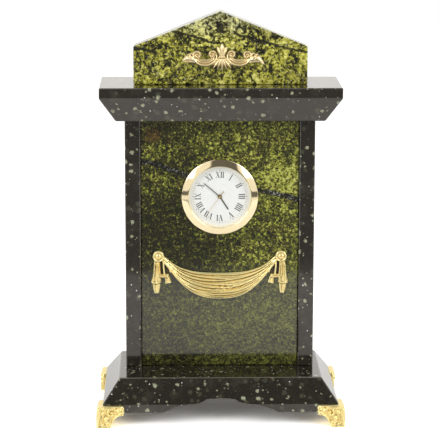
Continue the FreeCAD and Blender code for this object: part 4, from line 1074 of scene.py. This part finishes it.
def mount_wing(place, side, tip_x, tip_z):
    """The leafy end of one side, with curled lobes on its upper edge; path points are shares of its reach."""
    reach = tip_x - WING_ROOT
    return strips("mount", [
        ([(0.0, 234.6), (0.30, 235.9), (0.60, 236.3), (0.84, (236.0 + tip_z) / 2), (1.0, tip_z)],
         [1.2, 2.2, 1.9, 1.3, 0.35], leaf(2.5, 0.10), 60, 20),
        ([(0.16, 237.4), (0.30, 239.4), (0.44, 239.5)], [0.8, 0.85, 0.40], leaf(2.3), 24, 10),
        ([(0.40, 237.2), (0.52, 239.0), (0.66, 238.5)], [0.75, 0.80, 0.35], leaf(2.3), 24, 10),
        ([(0.62, 236.8), (0.74, 237.9), (0.84, 237.0)], [0.60, 0.65, 0.30], leaf(2.1), 20, 10),
        ([(0.04, 233.7), (0.40, 234.2), (0.72, 234.2), (0.97, tip_z - 0.2)], [0.5, 0.62, 0.55, 0.3],
         rounded(2.1), 40, 10),
    ], place, lambda u, z: (MOUNT_X + side * (WING_ROOT + reach * u), z))


def mount_middle(place):
    """The crest, the collar and the middle leaf under it."""
    return strips("mount", [
        ([(0, 237.4), (0, 240.4), (0, 243.4), (0, 245.9)], [1.0, 1.25, 1.70, 0.55], leaf(2.8), 44, 16),
        ([(-2.5, 237.2), (0, 236.9), (2.5, 237.2)], [0.8, 0.9, 0.8], rounded(2.7), 26, 10),
        ([(0, 236.4), (0, 233.2), (0.1, 228.4)], [0.7, 1.30, 0.45], leaf(2.75), 44, 16),
    ], place, lambda x, z: (MOUNT_X + x, z))


class CLOCK_OT_gable_mount(bpy.types.Operator):
    """Cast the scroll and leaf mount of the gable"""
    bl_idname = "clock.gable_mount"
    bl_label = "Gable Mount"

    def execute(self, context):
        gilt = context.scene.clock_gilt
        place = on_front(GABLE_FRONT)
        pieces = mount_middle(place) + mount_half(place, -1) + mount_half(place, 1)
        pieces += mount_wing(place, -1, 25.6, 235.2) + mount_wing(place, 1, 27.2, 232.2)
        for side in (-1, 1):
            pieces.append(stud((MOUNT_X + side * MOUNT_STUD_X, MOUNT_STUD_Z), GABLE_FRONT))
        mount = cast("gable_mount_casting", pieces, "pediment_ornament", gilt.voxel * 0.7, 0.6, 8)
        material = cast_gilt("Mount Gilt", gilt.mount, gilt.patina, 0.34, 0.03, 0.15, 0.88, GABLE_FRONT)
        place_piece(mount, "stone_case", material, ["pediment_ornament"])
        return {"FINISHED"}


# Dial and hands

PRINT_HEIGHT = 0.02 * MM


def thicken(depth):
    """Draws the active flat piece out along Y to a closed plate."""
    edit_all()
    extrude(0, depth, 0)
    end_editing()


def stroke(points, surface_y):
    """A printed stroke: four corners in place on the dial, given thickness towards the viewer."""
    clear_selection()
    bpy.ops.mesh.primitive_plane_add(size=2)
    piece = bpy.context.object
    corners = {(-1, -1): points[0], (1, -1): points[1], (1, 1): points[2], (-1, 1): points[3]}
    for vertex in piece.data.vertices:
        x, z = corners[(round(vertex.co.x), round(vertex.co.y))]
        vertex.co = (x, surface_y, z)
    thicken(-PRINT_HEIGHT)
    return piece


# Parts of a letter, as shares of its height
LETTER_WIDTH = {"I": 0.32, "V": 0.80, "X": 0.80}
THICK, THIN, SERIF = 0.150, 0.050, 0.042
WIDEST_NUMERAL = 1.78


def bar(x0, z0, x1, z1, width):
    """A slanted bar from low to high end, cut level at both ends."""
    return [(x0 - width / 2, z0), (x0 + width / 2, z0), (x1 + width / 2, z1), (x1 - width / 2, z1)]


def serif(x, z, width):
    return [(x - width / 2, z), (x + width / 2, z), (x + width / 2, z + SERIF), (x - width / 2, z + SERIF)]


def letter_strokes(letter):
    """Strokes of a Roman numeral letter one unit high, its foot at 0 and its middle at 0."""
    if letter == "I":
        return [bar(0, 0, 0, 1, THICK), serif(0, 0, 0.30), serif(0, 1 - SERIF, 0.30)]
    if letter == "V":
        return [bar(0.02, 0, -0.24, 1, THICK), bar(0.02, 0, 0.26, 1, THIN),
                serif(-0.24, 1 - SERIF, 0.34), serif(0.26, 1 - SERIF, 0.24)]
    return [bar(0.22, 0, -0.22, 1, THICK), bar(-0.24, 0, 0.24, 1, THIN), serif(-0.22, 1 - SERIF, 0.32),
            serif(0.24, 1 - SERIF, 0.24), serif(0.22, 0, 0.32), serif(-0.24, 0, 0.24)]


NUMERALS = ["XII", "I", "II", "III", "IIII", "V", "VI", "VII", "VIII", "IX", "X", "XI"]


def numeral(hour, height, radius, surface_y):
    """The strokes of one numeral, upright to the rim at its hour."""
    text = NUMERALS[hour]
    total = sum(LETTER_WIDTH[c] for c in text)
    squeeze = min(1.0, WIDEST_NUMERAL / total)
    angle = hour / 12 * FULL_TURN
    across = Vector((math.cos(angle), 0, -math.sin(angle)))
    outward = Vector((math.sin(angle), 0, math.cos(angle)))
    start = -total / 2
    pieces = []
    for letter in text:
        middle = start + LETTER_WIDTH[letter] / 2
        for points in letter_strokes(letter):
            placed = []
            for x, z in points:
                spot = across * ((x + middle) * squeeze * height) + outward * (radius + (z - 0.5) * height)
                placed.append((AXIS_X + spot.x, AXIS_Z + spot.z))
            pieces.append(stroke(placed, surface_y))
        start += LETTER_WIDTH[letter]
    return pieces


HOUR_DOT, MINUTE_DOT = 0.32 * MM, 0.19 * MM


def dot(minute, ring_radius, surface_y):
    angle = minute / 60 * FULL_TURN
    radius = HOUR_DOT if minute % 5 == 0 else MINUTE_DOT
    centre = (AXIS_X + ring_radius * math.sin(angle), AXIS_Z + ring_radius * math.cos(angle))
    return turned("dot", [(radius, surface_y), (radius, surface_y - PRINT_HEIGHT),
                          (0, surface_y - PRINT_HEIGHT)], centre, 12)


class CLOCK_OT_dial_print(bpy.types.Operator):
    """Print the Roman numerals and the minute dots on the dial"""
    bl_idname = "clock.dial_print"
    bl_label = "Dial Print"

    def execute(self, context):
        face = context.scene.clock_dial
        pieces = []
        for hour in range(12):
            pieces += numeral(hour, face.numeral_height, face.numeral_radius, DIAL_FRONT)
        for minute in range(60):
            pieces.append(dot(minute, face.dot_radius, DIAL_FRONT))
        ink = fine_paint("Dial Ink", face.ink, 0.0, 0.45, 0.5, 0.12, 0.002)
        place_piece(join("dial_print", pieces), "insert", ink)
        return {"FINISHED"}


def flat_piece(name, outline, front, thickness, bevel):
    """A plate with softened edges: an outline of (x, z) on a plane, drawn back to its thickness."""
    clear_selection()
    bpy.ops.mesh.primitive_circle_add(vertices=len(outline), radius=1, fill_type="NGON")
    piece = bpy.context.object
    for vertex, (x, z) in zip(piece.data.vertices, outline):
        vertex.co = (x, front, z)
    thicken(thickness)
    edge = piece.modifiers.new("Edge", "BEVEL")
    edge.width = bevel
    edge.segments = 2
    edge.limit_method = "ANGLE"
    apply_modifiers(piece)
    piece.name = name
    return piece


def hand_way(node):
    """Angle, clockwise from twelve, and length of a hand of the frame."""
    far = max((v.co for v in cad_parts[node].data.vertices),
              key=lambda c: math.hypot(c.x - AXIS_X, c.z - AXIS_Z))
    across, up = far.x - AXIS_X, far.z - AXIS_Z
    return math.atan2(across, up), math.hypot(across, up)


HAND_POINT = 0.6 * MM


def hand(node, halves, tail, boss, material, body):
    """A slim straight hand over its boss: halves are the half widths at its tail, root, end and point."""
    angle, length = hand_way(node)
    low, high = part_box(node)
    stations = [(-tail, halves[0] * MM), (0, halves[1] * MM), (length - HAND_POINT, halves[2] * MM),
                (length, halves[3] * MM)]
    outline = [(u, w) for u, w in stations] + [(u, -w) for u, w in reversed(stations)]
    outline = [(AXIS_X + u * math.sin(angle) + w * math.cos(angle),
                AXIS_Z + u * math.cos(angle) - w * math.sin(angle)) for u, w in outline]
    thickness = high.y - low.y
    blade = flat_piece("blade", outline, low.y + thickness * 0.3, thickness * 0.7, 0.04 * MM)
    profile = [(boss, high.y), (boss, low.y + thickness * 0.35), (boss * 0.85, low.y + thickness * 0.08),
               (boss * 0.4, low.y), (0, low.y)]
    disc = turned("boss", profile, (AXIS_X, AXIS_Z), 48)
    piece = join(node + "_finished", [blade, disc])
    select_only([piece])
    bpy.ops.object.shade_smooth_by_angle(angle=math.radians(35))
    place_piece(piece, body, material, [node])


class CLOCK_OT_hands(bpy.types.Operator):
    """Make the three hands and set them on their arbors"""
    bl_idname = "clock.hands"
    bl_label = "Hands"

    def execute(self, context):
        dark = fine_paint("Hand Lacquer", (0.075, 0.066, 0.035), 0.35, 0.35, 0.8, 0.25, 0.004)
        gold = fine_paint("Second Hand Gilt", (0.72, 0.50, 0.18), 1.0, 0.30, 0.6, 0.1, 0.004)
        hand("hour_hand", (0.36, 0.38, 0.40, 0.12), 1.2 * MM, 1.35 * MM, dark, "hour_group")
        hand("minute_hand", (0.28, 0.30, 0.28, 0.10), 1.2 * MM, 1.25 * MM, dark, "minute_group")
        hand("second_hand", (0.30, 0.13, 0.08, 0.05), 4.4 * MM, 0.80 * MM, gold,
             "second_group")
        return {"FINISHED"}


def turned_part(node, name, profile, body, material):
    """A turned ring of the insert that replaces its node; profile in millimetres from the panel front."""
    points = [(r * MM, PANEL_FRONT + y * MM) for r, y in profile]
    piece = turned(name, points, (AXIS_X, AXIS_Z), 160)
    select_only([piece])
    bpy.ops.object.shade_smooth_by_angle(angle=math.radians(28))
    place_piece(piece, body, material, [node])


class CLOCK_OT_insert_shell(bpy.types.Operator):
    """Turn the bezel and the inner ring and finish the glass, dial, barrel, gasket, cover and knob"""
    bl_idname = "clock.insert_shell"
    bl_label = "Insert Shell"

    def execute(self, context):
        face = context.scene.clock_dial
        gilt = context.scene.clock_gilt
        polished = fine_paint("Bezel Gilt", gilt.bezel, 1.0, 0.07, 1.2, 0.04, 0.002)
        pale = fine_paint("Inner Ring Gilt", (1.0, 0.90, 0.68), 0.15, 0.45, 0.8, 0.04, 0.004)
        turned_part("bezel", "bezel_turned", [
            (25.0, 0.0), (25.0, -0.62), (24.93, -0.82), (24.75, -0.97), (24.5, -1.07), (23.7, -1.40),
            (22.9, -1.71), (22.1, -2.01), (21.3, -2.30), (20.66, -2.50), (20.50, -2.52), (20.38, -2.45),
            (20.32, -2.28), (20.3, -1.65), (21.0, -1.65), (21.0, 2.0), (21.9, 2.0), (21.9, 0.0)],
            "insert", polished)
        turned_part("dial_ring", "inner_ring", [
            (20.9, -0.45), (20.45, -0.45), (20.3, -0.30), (20.2, 0.55), (19.95, 0.80), (19.6, 1.0),
            (19.6, 1.3), (20.9, 1.3)], "insert", pale)
        dress("lens", clear_crystal("Crystal"))
        dress("dial", fine_paint("Dial Card", face.face, 0.0, 0.5, 0.6, 0.02, 0.003))
        moulded = fine_paint("Moulded Black", (0.020, 0.020, 0.021), 0.0, 0.42, 0.7, 0.25, 0.015)
        for node in ("housing", "case_back", "battery_cover", "setting_knob"):
            dress(node, moulded)
        dress("gasket", fine_paint("Black Rubber", (0.014, 0.014, 0.014), 0.0, 0.7, 0.9, 0.2, 0.03))
        return {"FINISHED"}


class CLOCK_OT_movement(bpy.types.Operator):
    """Finish the plates, wheels, coil, board and cell of the movement"""
    bl_idname = "clock.movement"
    bl_label = "Movement"

    def execute(self, context):
        finishes = [
            (("front_plate", "train_plate", "back_plate", "hour_wheel", "third_wheel", "fifth_wheel"),
             fine_paint("Moulded White", (0.62, 0.62, 0.58), 0.0, 0.40, 0.8, 0.06, 0.01)),
            (("cannon_pinion", "setting_arbor", "centre_wheel", "seconds_wheel"),
             fine_paint("Wheel Brass", (0.72, 0.50, 0.16), 1.0, 0.28, 0.3, 0.12, 0.006, (1, 6, 1))),
            (("stator", "coil_core", "plate_screws", "quartz_crystal", "foot_screws"),
             fine_paint("Plain Steel", (0.50, 0.50, 0.51), 1.0, 0.32, 0.5, 0.12, 0.006, (5, 1, 1))),
            (("rotor",), fine_paint("Rotor", (0.030, 0.030, 0.034), 0.6, 0.35, 0.4, 0.2, 0.005)),
            (("coil_winding",),
             fine_paint("Lacquered Wire", (0.55, 0.17, 0.05), 0.7, 0.30, 0.12, 0.35, 0.02, (1, 1, 5))),
            (("circuit_board",), fine_paint("Board", (0.020, 0.140, 0.050), 0.0, 0.35, 0.5, 0.2, 0.004)),
            (("chip",), fine_paint("Chip Resin", (0.012, 0.012, 0.013), 0.0, 0.5, 0.2, 0.3, 0.004)),
            (("button_cell", "cell_contact_positive", "cell_contact_negative"),
             fine_paint("Cell Steel", (0.62, 0.61, 0.58), 1.0, 0.24, 0.4, 0.08, 0.004, (1, 4, 1))),
        ]
        for nodes, material in finishes:
            for node in nodes:
                dress(node, material)
        return {"FINISHED"}


# How far the slopes of the base run in from its foot to its top, in millimetres
BASE_SLOPE_RUN = 10.6


class CLOCK_OT_stone_case(bpy.types.Operator):
    """Give the slabs of the case their polished stones"""
    bl_idname = "clock.stone_case"
    bl_label = "Stone Case"

    def execute(self, context):
        stone = context.scene.clock_stone
        top_edge = ("Z", BASE_TOP, 0.55)
        base_edges = [[("Y", side * (BASE_HALF_Y - BASE_SLOPE_RUN), 0.75), top_edge] for side in (-1, 1)]
        base_edges += [[("X", side * (BASE_HALF_X - BASE_SLOPE_RUN), 0.75), top_edge] for side in (-1, 1)]
        slab_edges = [[("X", side * x, 0.45), ("Y", SLAB_FRONT, 0.5)]
                      for side in (-1, 1) for x in (SLAB_INNER, SLAB_OUTER)]
        slabs = [("base_block", (0.10, 0.20, 0.30), 1.0, base_edges),
                 ("cornice", (0.40, 0.15, 0.70), 0.9, ()),
                 ("side_slab_left", (0.70, 0.45, 0.10), 0.8, slab_edges),
                 ("side_slab_right", (0.25, 0.75, 0.55), 0.8, slab_edges),
                 ("back_panel", (0.55, 0.35, 0.85), 0.8, ())]
        for node, shift, share, edges in slabs:
            dress(node, speckled_stone("Dark Stone " + node, stone, shift, share, edges))
        dress("front_panel", moss_stone("Moss Stone", stone))
        dress("pediment", gable_stone("Gable Stone", stone))
        return {"FINISHED"}


# Stage

FLOOR_WIDTH, FLOOR_FRONT, FLOOR_BACK = 3.6, -0.39, 2.2
LAMP_X, LAMP_Y, LAMP_Z = 0.95, -0.95, 0.78
LAMP_SIZE = 0.7
LAMP_TARGET = (0, 0, 0.14)
SENSOR_WIDTH = 36


def soft_lamp(name, x, power):
    """A square soft lamp that looks at the clock."""
    clear_selection()
    place = (x, LAMP_Y, LAMP_Z)
    bpy.ops.object.light_add(type="AREA", location=place)
    lamp = bpy.context.object
    lamp.name = name
    lamp.data.shape = "RECTANGLE"
    lamp.data.size = LAMP_SIZE
    lamp.data.size_y = LAMP_SIZE
    lamp.data.energy = power
    lamp.rotation_euler = (Vector(place) - Vector(LAMP_TARGET)).to_track_quat("Z", "Y").to_euler()


def floor_material():
    """White sheet: the camera sees it white with the shadow kept; mirrors see it lifted a little."""
    paint = Paint("Floor")
    ray = paint.node("ShaderNodeLightPath")
    mirrored_ray = paint.most(Term(paint, ray.outputs["Is Glossy Ray"]),
                              Term(paint, ray.outputs["Is Transmission Ray"]))
    glow = paint.node("ShaderNodeEmission", None, {"Color": (1.0, 0.98, 0.95), "Strength": 0.28})
    lifted = paint.node("ShaderNodeAddShader", None, {0: paint.shader.outputs[0], 1: glow.outputs[0]})
    white = paint.node("ShaderNodeBsdfDiffuse", None, {"Color": (2.0, 1.98, 1.95)})
    first = paint.mix_shaders(mirrored_ray, paint.shader, lifted)
    paint.show(paint.mix_shaders(ray.outputs["Is Camera Ray"], first, white))
    return paint.finish(Base_Color=(0.86, 0.86, 0.86), Roughness=0.9, Specular_IOR_Level=0.0)


def set_world(ambient):
    """White for the camera and glass; mirrors see a white back, pale side screens and a dark front."""
    world = bpy.data.worlds.new("Studio")
    bpy.context.scene.world = world
    world.use_nodes = True
    room = Nodes(world.node_tree)
    room.tree.nodes.clear()
    ray = room.node("ShaderNodeLightPath")
    way = room.node("ShaderNodeTexCoord").outputs["Generated"]
    x, y, z = (room.axis(letter, way) for letter in "XYZ")
    across = x / room.most(y * -1, 0.05)
    side = room.most(room.step(across, -0.15, -0.22), room.step(across, 0.42, 0.49))
    right_gap = room.window(z, -0.205, -0.080, 0.015)
    left_gap = room.most(room.window(z, -0.33, -0.23, 0.02) * 0.7, room.window(z, -0.165, -0.065, 0.015))
    left = room.step(x, 0.0, -0.05)
    gap = left_gap * left + right_gap * (1 - left)
    screens = side * (1 - gap * 0.85) * 0.95
    below = (1 - side) * room.step(z, -0.10, -0.16) * 0.14
    behind = room.step(y, -0.15, 0.15) * 1.08
    above = room.step(z, 0.84, 0.92) * 1.1
    level = room.most(room.most(behind, above), room.most(screens, below + 0.13))
    mirrored_room = room.node("ShaderNodeBackground", None, {"Color": (1.0, 0.985, 0.96), "Strength": level})
    soft = room.node("ShaderNodeBackground", None, {"Color": (1, 1, 1), "Strength": ambient})
    white = room.node("ShaderNodeBackground", None, {"Color": (1, 1, 1), "Strength": 1.0})
    seen = room.most(Term(room, ray.outputs["Is Camera Ray"]), Term(room, ray.outputs["Is Transmission Ray"]))
    first = room.mix_shaders(ray.outputs["Is Glossy Ray"], soft, mirrored_room)
    second = room.mix_shaders(seen, first, white)
    room.node("ShaderNodeOutputWorld", None, {"Surface": second.outputs[0]})


class CLOCK_OT_stage(bpy.types.Operator):
    """Set the floor, the soft lamps, the room and the camera"""
    bl_idname = "clock.stage"
    bl_label = "Stage"

    def execute(self, context):
        stage = context.scene.clock_stage
        clear_selection()
        bpy.ops.mesh.primitive_plane_add(size=1)
        floor = context.object
        floor.name = "floor"
        for vertex in floor.data.vertices:
            vertex.co.x *= FLOOR_WIDTH
            vertex.co.y = FLOOR_FRONT if vertex.co.y < 0 else FLOOR_BACK
        dress(floor, floor_material())
        soft_lamp("left_lamp", -LAMP_X, stage.lamp_power)
        soft_lamp("right_lamp", LAMP_X, stage.lamp_power)
        set_world(stage.ambient)
        camera_data = bpy.data.cameras.new("camera")
        camera_data.lens = stage.lens
        camera_data.sensor_width = SENSOR_WIDTH
        camera_data.clip_start = 0.01
        camera = bpy.data.objects.new("camera", camera_data)
        context.scene.collection.objects.link(camera)
        cp, sp = math.cos(stage.pitch), math.sin(stage.pitch)
        cy, sy = math.cos(stage.yaw), math.sin(stage.yaw)
        right = Vector((cy, sy, 0))
        forward = Vector((-sy * cp, cy * cp, -sp))
        up = right.cross(forward)
        cr, sr = math.cos(stage.roll), math.sin(stage.roll)
        turned_right = right * cr + up * sr
        turned_up = up * cr - right * sr
        camera.matrix_world = Matrix.Translation(stage.camera_place) @ Matrix(
            (turned_right, turned_up, -forward)).transposed().to_4x4()
        context.scene.camera = camera
        context.scene.view_settings.view_transform = "Standard"
        return {"FINISHED"}


class CLOCK_PT_panel(bpy.types.Panel):
    """Lists the sizes, the colours and the pieces"""
    bl_idname = "CLOCK_PT_panel"
    bl_label = "Mantel Clock"
    bl_space_type = "VIEW_3D"
    bl_region_type = "UI"
    bl_category = "Mantel Clock"

    def draw(self, context):
        column = self.layout.column()
        for group in PROPERTY_GROUPS:
            settings = getattr(context.scene, group)
            for key in settings.bl_rna.properties.keys():
                if key not in ("rna_type", "name"):
                    column.prop(settings, key)
        for operator in OPERATORS:
            column.operator(operator.bl_idname)


PROPERTY_GROUPS = {"clock_stone": ClockStone, "clock_gilt": ClockGilt, "clock_dial": ClockDial,
                   "clock_stage": ClockStage}
OPERATORS = [CLOCK_OT_stage, CLOCK_OT_stone_case, CLOCK_OT_feet, CLOCK_OT_swag, CLOCK_OT_gable_mount,
             CLOCK_OT_insert_shell, CLOCK_OT_dial_print, CLOCK_OT_hands, CLOCK_OT_movement]


def register():
    for group, kind in PROPERTY_GROUPS.items():
        bpy.utils.register_class(kind)
        setattr(bpy.types.Scene, group, PointerProperty(type=kind))
    for operator in OPERATORS:
        bpy.utils.register_class(operator)
    bpy.utils.register_class(CLOCK_PT_panel)


def unregister():
    bpy.utils.unregister_class(CLOCK_PT_panel)
    for operator in reversed(OPERATORS):
        bpy.utils.unregister_class(operator)
    for group, kind in PROPERTY_GROUPS.items():
        delattr(bpy.types.Scene, group)
        bpy.utils.unregister_class(kind)


def main():
    register()
    bpy.ops.clock.stage()
    bpy.ops.clock.stone_case()
    bpy.ops.clock.feet()
    bpy.ops.clock.swag()
    bpy.ops.clock.gable_mount()
    bpy.ops.clock.insert_shell()
    bpy.ops.clock.dial_print()
    bpy.ops.clock.hands()
    bpy.ops.clock.movement()


if __name__ == "__main__":
    main()
